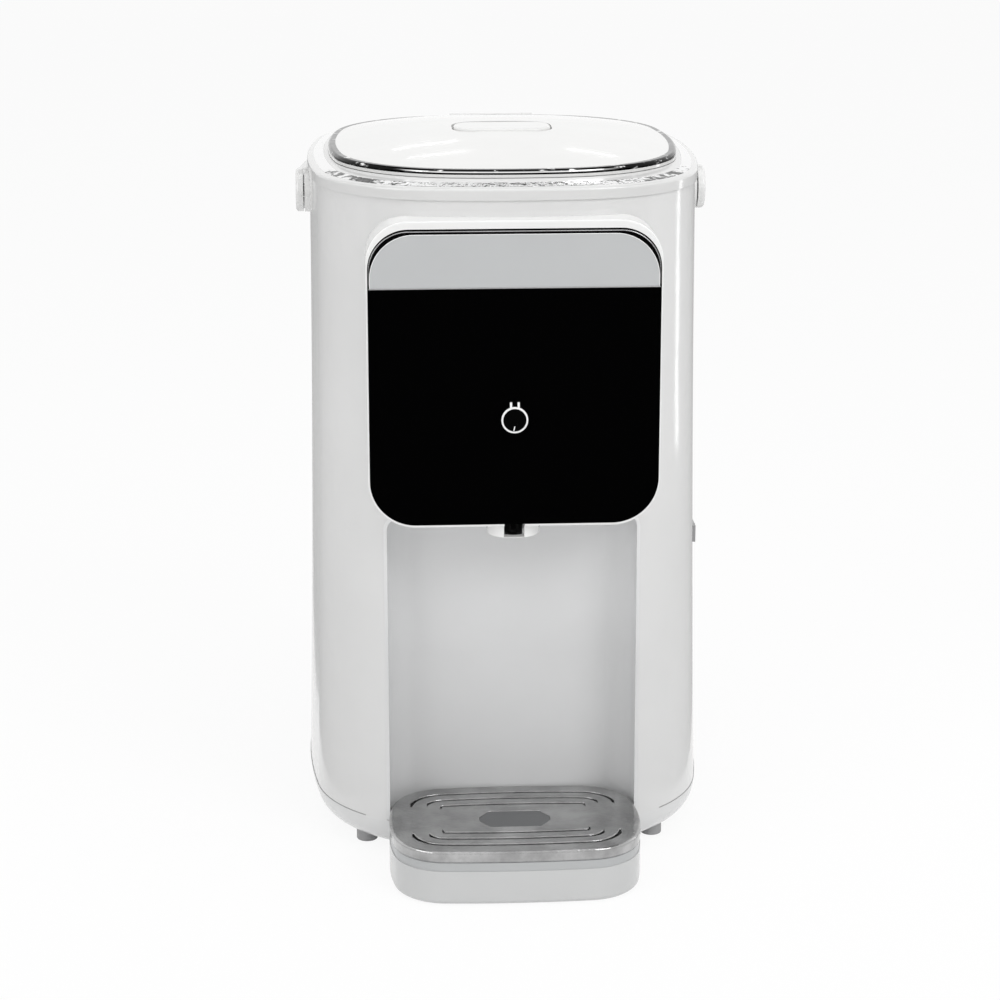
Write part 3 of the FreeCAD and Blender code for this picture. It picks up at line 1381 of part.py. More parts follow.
def lid_cover():
    skirt = lid_prism(LID_BOTTOM_Z, LID_RING_Z)
    collar = lid_prism(LID_RING_Z, LID_EDGE_Z, LID_RING_W)
    top = dome(LID_EDGE_Z, 0.0)
    outer = skirt.fuse([collar, top])
    hollow = lid_prism(LID_BOTTOM_Z - 1, LID_EDGE_Z - LID_WALL, LID_RING_W + LID_WALL)
    hollow = hollow.fuse(dome(LID_EDGE_Z - LID_WALL, LID_WALL))
    cover = outer.cut(hollow)
    floor = LEVER_WELL_FLOOR_Z - LEVER_WELL_WALL
    cover = cover.fuse(lever_well(LEVER_WELL_WALL, floor).common(top))
    cover = cover.cut(lever_well(0.0, LEVER_WELL_FLOOR_Z))
    half = LEVER_LENGTH / 2 + 5
    cover = cover.cut(rod(HINGE_PIN_R, (-half, LEVER_PIN_Y, LEVER_PIN_Z), 2 * half, X_AXIS))
    return cover.removeSplitter()


def lid_trim_ring():
    ring = lid_prism(LID_RING_Z, LID_EDGE_Z)
    ring = ring.makeFillet(1.8, edges_at(ring, LID_EDGE_Z))
    return ring.cut(lid_prism(LID_RING_Z - 1, LID_EDGE_Z + 1, LID_RING_W))


def lid_liner():
    plate = lid_prism(LINER_PLATE_Z, LID_BOTTOM_Z, MOUTH_INSET + LINER_FIT)
    plug = rod(LINER_PLUG_R, (0, 0, LINER_PLUG_BOTTOM_Z), LINER_PLATE_Z - LINER_PLUG_BOTTOM_Z)
    plug = plug.makeFillet(3.0, edges_at(plug, LINER_PLUG_BOTTOM_Z))
    liner = plate.fuse(plug)
    dish = rod(LINER_PLUG_R - LINER_WALL, (0, 0, LINER_PLUG_BOTTOM_Z + LINER_WALL), 60.0)
    liner = liner.cut(dish)
    for side in (-1, 1):
        liner = liner.cut(rod(1.45, (side * LID_SCREW_X, LID_SCREW_Y, LINER_PLATE_Z - 1), 4.0))
    return liner.removeSplitter()


def lid_gasket():
    low = TANK_RIM_Z + GASKET_LIFT
    return tube(GASKET_OUTER_R, GASKET_INNER_R, (0, 0, low), LINER_PLATE_Z - low)


def hinge_leaf():
    half = HINGE_LEAF_HALF
    low = LINER_PLATE_Z - HINGE_LEAF_T
    plate = box(-half, half, HINGE_LEAF_FRONT_Y, HINGE_Y, low, LINER_PLATE_Z)
    web = box(-half, half, HINGE_Y - HINGE_KNUCKLE_R, HINGE_Y, low, HINGE_Z)
    knuckle = rod(HINGE_KNUCKLE_R, (-half, HINGE_Y, HINGE_Z), 2 * half, X_AXIS)
    leaf = plate.fuse([web, knuckle])
    bore_r = HINGE_PIN_R + RUNNING_CLEARANCE
    leaf = leaf.cut(rod(bore_r, (-half - 1, HINGE_Y, HINGE_Z), 2 * half + 2, X_AXIS))
    for side in (-1, 1):
        leaf = leaf.cut(rod(1.45, (side * LID_SCREW_X, LID_SCREW_Y, low - 1), 4.0))
    return leaf.removeSplitter()


def lid_screws():
    screws = []
    low = LINER_PLATE_Z - HINGE_LEAF_T
    for side in (-1, 1):
        x = side * LID_SCREW_X
        head = rod(2.7, (x, LID_SCREW_Y, low - 1.2), 1.2)
        shank = rod(1.4, (x, LID_SCREW_Y, low), 4.4)
        screws.append(head.fuse(shank))
    return Part.makeCompound(screws)


def hinge_bracket():
    pocket_floor = DECK_Z - 0.6 - HINGE_PLATE_T
    inner = HINGE_LEAF_HALF + HINGE_EAR_GAP
    outer = inner + HINGE_EAR_W
    front = HINGE_Y - HINGE_KNUCKLE_R
    rear = HINGE_Y + HINGE_KNUCKLE_R
    plate = box(-outer, outer, front, rear + 2, pocket_floor, pocket_floor + HINGE_PLATE_T - 0.2)
    pieces = []
    for side in (-1, 1):
        start = min(side * inner, side * outer)
        pieces.append(box(start, start + HINGE_EAR_W, front, rear, pocket_floor, HINGE_Z))
        pieces.append(rod(HINGE_KNUCKLE_R, (start, HINGE_Y, HINGE_Z), HINGE_EAR_W, X_AXIS))
    bracket = plate.fuse(pieces)
    bracket = bracket.cut(rod(HINGE_PIN_R, (-outer - 1, HINGE_Y, HINGE_Z), 2 * outer + 2, X_AXIS))
    return bracket.removeSplitter()


def hinge_pin():
    half = HINGE_LEAF_HALF + HINGE_EAR_GAP + HINGE_EAR_W
    return rod(HINGE_PIN_R, (-half, HINGE_Y, HINGE_Z), 2 * half, X_AXIS)


def lid_lever():
    slab = round_slab(
        LEVER_LENGTH / 2, LEVER_FRONT_Y, LEVER_REAR_Y, LEVER_CORNER_R, LEVER_TOP_Z - LEVER_T, LEVER_TOP_Z
    )
    slab = slab.makeFillet(1.6, edges_at(slab, LEVER_TOP_Z))
    pieces = []
    for x in (-22.0, 12.0):
        pieces.append(rod(LEVER_KNUCKLE_R, (x, LEVER_PIN_Y, LEVER_PIN_Z), 10.0, X_AXIS))
        web_front = LEVER_PIN_Y - LEVER_KNUCKLE_R
        pieces.append(box(x, x + 10, web_front, LEVER_PIN_Y + 1.0, LEVER_PIN_Z, LEVER_TOP_Z - 2))
    lever = slab.fuse(pieces)
    bore_r = HINGE_PIN_R + RUNNING_CLEARANCE
    return lever.cut(rod(bore_r, (-40, LEVER_PIN_Y, LEVER_PIN_Z), 80.0, X_AXIS)).removeSplitter()


def lever_pin():
    half = LEVER_LENGTH / 2 + LEVER_SIDE_GAP + LEVER_WELL_WALL * 0.7
    return rod(HINGE_PIN_R, (-half, LEVER_PIN_Y, LEVER_PIN_Z), 2 * half, X_AXIS)


def lever_spring():
    wire_r = 0.35
    spring = coil(HINGE_PIN_R + wire_r + 0.15, wire_r, 2 * LEVER_COIL_HALF, 12)
    spring.rotate(Vec(0, 0, 0), Y_AXIS, 90)
    spring.translate(Vec(-LEVER_COIL_HALF, LEVER_PIN_Y, LEVER_PIN_Z))
    return spring


# ---------------------------------------------------------------- carry handle
def bail_outline(z, grow):
    return bowed_outline(
        BAIL_INNER_HALF_W + grow,
        BAIL_INNER_REAR_Y - BODY_CENTRE_Y + grow,
        BODY_CORNER_R + BAIL_CORNER_EXTRA + grow,
        BODY_SIDE_TURN,
        BODY_FRONT_TURN,
        z,
        BODY_CENTRE_Y,
    )


def bail_band(inner_grow, outer_grow, height):
    """Rear half of a flat band around the body, centred on the pivot's height."""
    low = PIVOT_Z - height / 2
    band = raised(bail_outline(low, outer_grow), height)
    band = band.cut(raised(bail_outline(low, inner_grow), height))
    behind = box(-BODY_WIDTH, BODY_WIDTH, PIVOT_Y, BODY_DEPTH, low - 1, low + height + 1)
    return band.common(behind)


def pivot_disc(radius, inner_x, outer_x, side):
    start = (side * inner_x, PIVOT_Y, PIVOT_Z)
    return rod(radius, start, outer_x - inner_x, Vec(side, 0, 0))


def handle_bail():
    strap = bail_band(0.0, BAIL_T, BAIL_HEIGHT)
    bosses = []
    for side in (-1, 1):
        boss = pivot_disc(BAIL_BOSS_R, BAIL_INNER_HALF_W, BAIL_OUTER_HALF_W, side)
        outer = side * BAIL_OUTER_HALF_W
        rim = [
            e for e in boss.Edges
            if abs(e.BoundBox.XMax - outer) < 1e-4 and abs(e.BoundBox.XMin - outer) < 1e-4
        ]
        bosses.append(boss.makeFillet(2.0, rim))
    bail = strap.fuse(bosses)
    for side in (-1, 1):
        bore = pivot_disc(PIVOT_PIN_R + RUNNING_CLEARANCE, 100.0, BAIL_OUTER_HALF_W - 1.2, side)
        bail = bail.cut(bore)
    return bail.removeSplitter()


def handle_grip():
    outer_height = BAIL_HEIGHT + 2 * GRIP_T
    sleeve = bail_band(-GRIP_T, BAIL_T + GRIP_T, outer_height)
    half = GRIP_LENGTH / 2
    sleeve = sleeve.common(box(-half, half, HINGE_Y, BODY_DEPTH, PIVOT_Z - 40, PIVOT_Z + 40))
    long_edges = [e for e in sleeve.Edges if e.BoundBox.ZLength < 0.01 and e.BoundBox.XLength > 5]
    sleeve = sleeve.makeFillet(1.6, long_edges)
    return sleeve.cut(bail_band(0.0, BAIL_T, BAIL_HEIGHT))


def handle_pivots(envelope):
    """Fixed discs with the pins that the carry handle turns on, and its stops."""
    pieces = []
    disc_x = BAIL_INNER_HALF_W - BAIL_SIDE_GAP
    for side in (-1, 1):
        disc = pivot_disc(PIVOT_FLANGE_R, BODY_WIDTH / 2 - 8, disc_x, side)
        stop_low = PIVOT_Z - BAIL_HEIGHT / 2 - 6
        stop_high = PIVOT_Z - BAIL_HEIGHT / 2 - STOP_GAP
        stop_x = sorted((side * (BODY_WIDTH / 2 - 8), side * (disc_x + 3)))
        stop_y = PIVOT_Y + PIVOT_FLANGE_R - 4
        stop = box(stop_x[0], stop_x[1], stop_y + 1.5, stop_y + 9, stop_low, stop_high)
        shaft = pivot_disc(PIVOT_PIN_R, BODY_WIDTH / 2 - 14, BAIL_OUTER_HALF_W - 1.5, side)
        fixed = disc.fuse(stop).cut(envelope).fuse(shaft)
        nut = pivot_disc(7.0, BODY_WIDTH / 2 - 11, BODY_WIDTH / 2 - 6.6, side)
        pieces.append(fixed.fuse(nut).removeSplitter())
    return Part.makeCompound(pieces)


# ---------------------------------------------------------------- drip tray
def tray_body():
    body = tray_prism(0.0, TRAY_BODY_H)
    body = body.makeFillet(TRAY_EDGE_R, edges_at(body, 0.0))
    return body.cut(tray_prism(TRAY_FLOOR, TRAY_BODY_H + 1, TRAY_WALL))


def tray_rim():
    """Band on the tray's wall, with the raised lip that carries the grille."""
    rim = tray_prism(TRAY_BODY_H, TRAY_RIM_TOP_Z, TRAY_RIM_INSET)
    lip_top = TRAY_RIM_TOP_Z + GRILLE_LINE - GRILLE_SEAT_GAP
    rim = rim.fuse(tray_prism(TRAY_BODY_H, lip_top, TRAY_LIP_INSET))
    return rim.cut(tray_prism(TRAY_BODY_H, lip_top, TRAY_WALL + 0.8)).removeSplitter()


def slot_space(inset, half_length, end_depth, toward):
    """Curved slot that follows the tray's edge, in front of or behind its middle."""
    half = SLOT_WIDTH / 2
    low = GRILLE_TOP_Z - GRILLE_T - 1
    ring = tray_prism(low, GRILLE_TOP_Z + 1, inset - half)
    ring = ring.cut(tray_prism(low, GRILLE_TOP_Z + 1, inset + half))
    near = TRAY_CENTRE_Y + toward * end_depth
    far = TRAY_CENTRE_Y + toward * TRAY_DEPTH
    window = box(-half_length, half_length, min(near, far), max(near, far), low - 1, GRILLE_TOP_Z + 2)
    return ring.common(window)


def pad_space(shrink, z0, z1):
    """Long plate with cut and softened corners, made smaller all round by shrink."""
    half_w = PAD_LENGTH / 2 - shrink
    half_d = PAD_DEPTH / 2 - shrink
    near_w = half_w - PAD_CHAMFER_X
    near_d = half_d - PAD_CHAMFER_Y
    corners = [
        (half_w, near_d), (near_w, half_d), (-near_w, half_d), (-half_w, near_d),
        (-half_w, -near_d), (-near_w, -half_d), (near_w, -half_d), (half_w, -near_d),
    ]
    points = [Vec(x, PAD_Y + y, z0) for x, y in corners]
    plate = Part.Face(Part.makePolygon(points + points[:1])).extrude(Vec(0, 0, z1 - z0))
    upright = [e for e in plate.Edges if abs(e.tangentAt(e.FirstParameter).z) > 0.99]
    return plate.makeFillet(PAD_CORNER_R, upright)


def drip_grille():
    low = TRAY_RIM_TOP_Z + GRILLE_LINE
    plate = tray_prism(low, GRILLE_TOP_Z)
    plate = plate.makeFillet(GRILLE_EDGE_R, edges_at(plate, GRILLE_TOP_Z))
    plate = plate.cut(tray_prism(low - 1, GRILLE_TOP_Z - GRILLE_T, GRILLE_T))
    for row, half_length in enumerate(SLOT_HALF_LENGTHS):
        inset = SLOT_FIRST_INSET + row * SLOT_PITCH
        for toward in (-1, 1):
            plate = plate.cut(slot_space(inset, half_length, SLOT_END_DEPTHS[row], toward))
    return plate.cut(pad_space(0.0, GRILLE_TOP_Z - PAD_RECESS, GRILLE_TOP_Z + 1))


def grille_pad():
    return pad_space(0.15, GRILLE_TOP_Z - PAD_RECESS, GRILLE_TOP_Z - 0.3)


# ---------------------------------------------------------------- assembly
def build():
    os.makedirs("parts", exist_ok=True)
    envelope = shell_volume()
    nodes = {
        "outer_shell": outer_shell(envelope),
        "top_collar": top_collar(),
        "collar_inlay": collar_inlay(),
        "base_cover": base_cover(),
        "rubber_feet": rubber_feet(),
        "base_screws": base_screws(),
        "panel_bezel": panel_bezel(envelope),
        "panel_trim": panel_trim(),
        "upper_band": upper_band(),
        "glass_panel": glass_panel(),
        "button_ring": button_ring(),
        "dispense_button": dispense_button(),
        "button_spring": button_spring(),
        "tact_switch": tact_switch(),
        "board_posts": board_posts(),
        "control_board": control_board(),
        "alcove_panel": alcove_panel(envelope),
        "spout_shroud": spout_shroud(),
        "spout_guard": spout_guard(),
        "nozzle": nozzle(),
        "syrup_tank": syrup_tank(),
        "tank_outlet": tank_outlet(),
        "outlet_strainer": outlet_strainer(),
        "suction_hose": suction_hose(),
        "delivery_hose": delivery_hose(),
        "pump_body": pump_body(),
        "pump_cover": pump_cover(),
        "pump_screws": pump_screws(),
        "pump_bracket": pump_bracket(),
        "drive_gear": gear(PUMP_Z, 90.0),
        "drive_shaft": drive_shaft(),
        "shaft_coupling": shaft_coupling(),
        "idler_gear": gear(IDLER_Z, 90.0 + 180.0 / GEAR_TEETH),
        "idler_shaft": idler_shaft(),
        "gear_motor": gear_motor(),
        "motor_saddle": motor_saddle(),
        "power_supply": power_supply(),
        "power_inlet": power_inlet(envelope),
        "inlet_pins": inlet_pins(),
        "switch_frame": switch_frame(envelope),
        "power_rocker": power_rocker(),
        "lid_cover": lid_cover(),
        "lid_trim_ring": lid_trim_ring(),
        "lid_liner": lid_liner(),
        "lid_gasket": lid_gasket(),
        "hinge_leaf": hinge_leaf(),
        "lid_screws": lid_screws(),
        "hinge_bracket": hinge_bracket(),
        "hinge_pin": hinge_pin(),
        "lid_lever": lid_lever(),
        "lever_pin": lever_pin(),
        "lever_spring": lever_spring(),
        "handle_bail": handle_bail(),
        "handle_grip": handle_grip(),
        "handle_pivots": handle_pivots(envelope),
        "tray_body": tray_body(),
        "tray_rim": tray_rim(),
        "drip_grille": drip_grille(),
        "grille_pad": grille_pad(),
    }
    for node, shape in nodes.items():
        save(shape, node)
        bounds = shape.BoundBox
        print(node, len(shape.Solids), shape.isValid(), round(shape.Volume, 1), bounds)


build()
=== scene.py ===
import math

import bmesh
import bpy
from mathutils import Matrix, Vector
from mathutils.geometry import convex_hull_2d


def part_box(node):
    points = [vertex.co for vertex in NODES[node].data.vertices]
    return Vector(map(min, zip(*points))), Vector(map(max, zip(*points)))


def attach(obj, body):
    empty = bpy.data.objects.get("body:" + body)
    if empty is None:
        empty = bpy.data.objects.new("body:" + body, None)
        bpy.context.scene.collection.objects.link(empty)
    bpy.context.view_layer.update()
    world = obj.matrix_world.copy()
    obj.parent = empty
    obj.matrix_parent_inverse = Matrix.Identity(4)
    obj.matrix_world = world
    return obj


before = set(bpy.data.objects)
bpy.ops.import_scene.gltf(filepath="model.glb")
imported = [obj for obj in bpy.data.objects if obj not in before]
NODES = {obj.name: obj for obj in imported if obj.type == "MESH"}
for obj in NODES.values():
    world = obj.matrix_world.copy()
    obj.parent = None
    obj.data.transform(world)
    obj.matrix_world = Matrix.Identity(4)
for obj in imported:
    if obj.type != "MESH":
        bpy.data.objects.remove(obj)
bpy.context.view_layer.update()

# Lengths are in metres. The tank's axis and the middle of the body stand at these y.
AXIS_Y = 0.02045
BODY_MIDDLE_Y = AXIS_Y + 0.006

CAMERA_PLACE = Vector((-0.091077, -1.637426 + AXIS_Y, 0.658647))
CAMERA_AIM = Vector((0.0, -0.003 + AXIS_Y, 0.2))

# Sockets of the colour mix node: its two colours and its result.
MIX_FIRST, MIX_SECOND, MIX_RESULT = 6, 7, 2

TRIM_SIDE_INSET = 0.0006
TRIM_TOP_INSET = 0.0013
TRIM_CORNER_R = 0.0225
TRIM_FOOT = 0.002
GLASS_LINE_RISE = 0.0004
BEAD_SETBACK = 0.0001
BAND_CORNER_R = 0.025
TICK_RISE = 0.0010
TICK_LENGTH = 0.0026
TICK_LEAN = 0.0006
TICK_PROUD = 0.00005

SEAM_RISE = 0.0002
SEAM_R = 0.0003
# The cup space interrupts the seam between these bearings, in degrees from +x.
SEAM_ENDS, SEAM_STARTS = 235.0, 305.0

FLOOR_HALF = 6.0
FLOOR_DROP = 0.0004
FLOOR_GLOW_SHARE = 0.9
CARD_RISE = 0.002
ROOM_LEVEL = 0.70
ROOM_LEAN = (0.03, -0.07, 0.10)


# ------------------------------------------------------------------ placing and camera
def add_to_scene(name, data):
    made = bpy.data.objects.new(name, data)
    bpy.context.scene.collection.objects.link(made)
    return made


def point_at(thing, place, aim):
    thing.location = place
    thing.rotation_euler = (Vector(aim) - Vector(place)).to_track_quat("-Z", "Y").to_euler()


def add_camera():
    data = bpy.data.cameras.new("camera")
    data.lens = 96.292
    data.sensor_width = 36.0
    data.sensor_fit = "HORIZONTAL"
    data.shift_x = -0.0012
    data.shift_y = -0.014777
    data.clip_end = 50.0
    camera = add_to_scene("camera", data)
    point_at(camera, CAMERA_PLACE, CAMERA_AIM)
    bpy.context.scene.camera = camera


# ------------------------------------------------------------------ node helpers
def grey(tone):
    return (tone, tone, tone)


def tint(colour, factor):
    return tuple(min(1.0, c * factor) for c in colour)


class Shade:
    """Small wrapper for building one node material."""

    def __init__(self, name, **settings):
        self.mat = bpy.data.materials.new(name)
        self.mat.use_nodes = True
        self.tree = self.mat.node_tree
        self.bsdf = self.tree.nodes["Principled BSDF"]
        self.coord = self.tree.nodes.new("ShaderNodeTexCoord")
        for key, value in settings.items():
            self.put(key.replace("_", " ").title(), value)

    def put(self, socket, value):
        self.bsdf.inputs[socket].default_value = value

    def link(self, source, target):
        self.tree.links.new(source, target)

    def feed(self, source, socket):
        self.link(source, self.bsdf.inputs[socket])

    def node(self, kind, **values):
        made = self.tree.nodes.new(kind)
        for key, value in values.items():
            if key in made.inputs:
                made.inputs[key].default_value = value
            else:
                setattr(made, key, value)
        return made

    def noise(self, scale, detail=3.0, rough=0.5, stretch=(1, 1, 1)):
        mapping = self.node("ShaderNodeMapping", Scale=stretch)
        self.link(self.coord.outputs["Object"], mapping.inputs["Vector"])
        noise = self.node("ShaderNodeTexNoise", Scale=scale, Detail=detail, Roughness=rough)
        self.link(mapping.outputs["Vector"], noise.inputs["Vector"])
        return noise.outputs["Fac"]

    def ramp(self, fac, low, high):
        """Colour ramp between two stops, each a (place, colour)."""
        ramp = self.node("ShaderNodeValToRGB")
        for element, (place, colour) in zip(ramp.color_ramp.elements, (low, high)):
            element.position = place
            element.color = (*colour, 1.0)
        self.link(fac, ramp.inputs["Fac"])
        return ramp.outputs["Color"]

    def spread(self, value, low, high, start=0.0, end=1.0):
        """Map start..end to low..high."""
        span = self.node("ShaderNodeMapRange")
        names = ("From Min", "From Max", "To Min", "To Max")
        for name, number in zip(names, (start, end, low, high)):
            span.inputs[name].default_value = number
        self.link(value, span.inputs["Value"])
        return span.outputs["Result"]

    def maths(self, operation, *values):
        made = self.node("ShaderNodeMath", operation=operation)
        for value, target in zip(values, made.inputs):
            self.link(value, target)
        return made.outputs[0]

    def bump(self, *heights):
        """Chain of (height socket, strength, distance) into the shader's normal."""
        last = None
        for height, strength, distance in heights:
            bump = self.node("ShaderNodeBump", Strength=strength, Distance=distance)
            self.link(height, bump.inputs["Height"])
            if last is not None:
                self.link(last, bump.inputs["Normal"])
            last = bump.outputs["Normal"]
        self.feed(last, "Normal")

    def axis(self, index, kind="Object"):
        """One axis of the surface's place, or of its normal."""
        split = self.node("ShaderNodeSeparateXYZ")
        self.link(self.coord.outputs[kind], split.inputs["Vector"])
        return split.outputs[index]

    def painted_light_by_height(self, colour, low_z, low_share, high_z, high_share):
        """Painted light and shade: multiply a colour by a share that changes with the height
        above the counter.
        """
        share = self.spread(self.axis(2), low_share, high_share, low_z, high_z)
        mix = self.node("ShaderNodeVectorMath", operation="SCALE")
        self.link(colour, mix.inputs[0])
        self.link(share, mix.inputs["Scale"])
        return mix.outputs["Vector"]

    def soften_edges(self, radius):
        """Round the shading normal over sharp edges, so that they catch light."""
        bevel = self.node("ShaderNodeBevel", samples=6, Radius=radius)
        first = self.bsdf.inputs["Normal"].links[0].from_node
        while first.inputs["Normal"].is_linked:
            first = first.inputs["Normal"].links[0].from_node
        self.link(bevel.outputs["Normal"], first.inputs["Normal"])


# ------------------------------------------------------------------ materials
def moulded(
    name, colour, rough, coat=0.0, grain=900.0, grain_depth=0.00002, haze=0.03, specular=0.5,
    heights=None, coat_rough=0.06,
):
    """Moulded or lacquered plastic: faint colour drift, uneven gloss, fine skin; heights adds
    painted light and shade that change with height.
    """
    s = Shade(name, coat_weight=coat, coat_roughness=coat_rough)
    s.put("Specular IOR Level", specular)
    drift = s.noise(14.0, 4.0, 0.55)
    tone = s.ramp(drift, (0.3, tint(colour, 0.975)), (0.7, tint(colour, 1.015)))
    # Painted light and shade: the colour is darkened or lightened by height.
    if heights:
        tone = s.painted_light_by_height(tone, *heights)
    s.feed(tone, "Base Color")
    gloss = s.noise(55.0, 5.0, 0.6)
    s.feed(s.spread(gloss, max(rough - haze, 0.02), rough + haze), "Roughness")
    wave = s.noise(24.0, 1.0, 0.4)
    skin = s.noise(grain, 2.0, 0.5)
    s.bump((wave, 0.25, 0.00012), (skin, 0.35, grain_depth))
    return s.mat


def chrome(name, colour, rough, ripple=0.0002, ripple_scale=60.0):
    """Bright plated metal with slight ripples and wipe marks."""
    s = Shade(name, metallic=1.0)
    drift = s.noise(30.0, 4.0, 0.6)
    s.feed(s.ramp(drift, (0.3, tint(colour, 0.9)), (0.7, tint(colour, 1.05))), "Base Color")
    wipe = s.noise(90.0, 6.0, 0.65, (1, 6, 1))
    s.feed(s.spread(wipe, max(rough - 0.02, 0.01), rough + 0.05), "Roughness")
    s.bump((s.noise(ripple_scale, 2.0, 0.5), 0.6, ripple))
    return s.mat


def brushed(name, colour, rough, stretch=(1, 1, 1), scale=30.0):
    """Brushed or drawn metal."""
    s = Shade(name, metallic=1.0)
    lines = s.noise(scale, 6.0, 0.7, stretch)
    s.feed(s.ramp(lines, (0.25, tint(colour, 0.82)), (0.75, tint(colour, 1.1))), "Base Color")
    s.feed(s.spread(lines, rough - 0.06, rough + 0.08), "Roughness")
    s.bump((lines, 0.2, 0.00003))
    return s.mat


def rubbery(name, colour, rough, milky=0.0):
    """Rubber or silicone with a fine matt skin."""
    s = Shade(name, subsurface_weight=milky, subsurface_radius=(0.002, 0.002, 0.002))
    drift = s.noise(40.0, 4.0, 0.6)
    s.feed(s.ramp(drift, (0.3, tint(colour, 0.9)), (0.7, tint(colour, 1.08))), "Base Color")
    s.feed(s.spread(s.noise(220.0), rough - 0.08, rough + 0.08), "Roughness")
    s.bump((s.noise(1500.0, 2.0), 0.4, 0.00003))
    return s.mat


def rippled_chrome(name, rough, tone, ripple_scale, ripple_depth, fleck_depth):
    """Plated metal with long ripples and fine flecks; tone makes its colour from the shade."""
    s = Shade(name, metallic=1.0, roughness=rough)
    s.feed(tone(s), "Base Color")
    ripple = (s.noise(ripple_scale, 2.0), 0.6, ripple_depth)
    flecks = (s.noise(420.0, 1.0), 0.5, fleck_depth)
    s.bump(ripple, flecks)
    return s


def lid_ring_chrome():
    """Chrome whose colour is painted dark, with painted sparkles, where it faces up or sideways:
    a painted reflection of a dark room.
    """

    def tone(s):
        front = s.ramp(s.noise(30.0, 4.0, 0.6), (0.3, grey(0.82)), (0.7, grey(0.93)))
        # The flecks give the painted reflection its dark patches and bright sparkles.
        flecks = s.noise(130.0, 3.0, 0.6, (1, 1, 3))
        painted_reflection = s.ramp(flecks, (0.58, grey(0.012)), (0.66, grey(0.9)))
        side = s.maths("ABSOLUTE", s.axis(0, "Normal"))
        painted_reflection_mask = s.maths("MAXIMUM", s.axis(2, "Normal"), side)
        # Where the ring faces up or sideways, its colour turns to the painted dark reflection.
        mix = s.node("ShaderNodeMix", data_type="RGBA")
        s.link(s.spread(painted_reflection_mask, 0.0, 1.0, 0.25, 0.50), mix.inputs["Factor"])
        s.link(front, mix.inputs[MIX_FIRST])
        s.link(painted_reflection, mix.inputs[MIX_SECOND])
        return mix.outputs[MIX_RESULT]

    return rippled_chrome("lid_ring_chrome", 0.04, tone, 38.0, 0.0005, 0.00014).mat


def inlay_chrome():
    """Chrome with painted dark reflection flecks: fewer in the middle, none behind the front
    corners.
    """

    def tone(s):
        # The dark flecks in the colour are a painted reflection, more towards the sides.
        side = s.spread(s.maths("ABSOLUTE", s.axis(0)), -0.12, 0.05, 0.035, 0.075)
        rear = s.spread(s.axis(1), 0.0, -0.4, AXIS_Y - 0.075, AXIS_Y - 0.045)
        flecks = s.noise(150.0, 3.0, 0.65, (0.6, 1, 3))
        painted_fleck_mask = s.maths("ADD", flecks, s.maths("ADD", side, rear))
        return s.ramp(painted_fleck_mask, (0.53, grey(0.90)), (0.59, grey(0.05)))

    return rippled_chrome("inlay_chrome", 0.05, tone, 55.0, 0.0012, 0.0005).mat


def grille_chrome():
    """Greyer chrome whose slot edges catch light."""

    def tone(s):
        return s.ramp(s.noise(45.0, 4.0, 0.6), (0.35, grey(0.33)), (0.65, grey(0.50)))

    s = rippled_chrome("grille_chrome", 0.10, tone, 60.0, 0.0006, 0.0003)
    s.soften_edges(0.0014)
    return s.mat


def circuit():
    """Green solder mask with paler copper traces showing through."""
    s = Shade("circuit_board")
    cells = s.node(
        "ShaderNodeTexVoronoi", distance="MANHATTAN", feature="DISTANCE_TO_EDGE", Scale=160.0
    )
    s.link(s.coord.outputs["Object"], cells.inputs["Vector"])
    edge = cells.outputs["Distance"]
    s.feed(s.ramp(edge, (0.04, (0.05, 0.24, 0.12)), (0.09, (0.012, 0.085, 0.04))), "Base Color")
    s.feed(s.spread(s.noise(300.0), 0.3, 0.45), "Roughness")
    s.bump((edge, 0.2, 0.00005))
    return s.mat


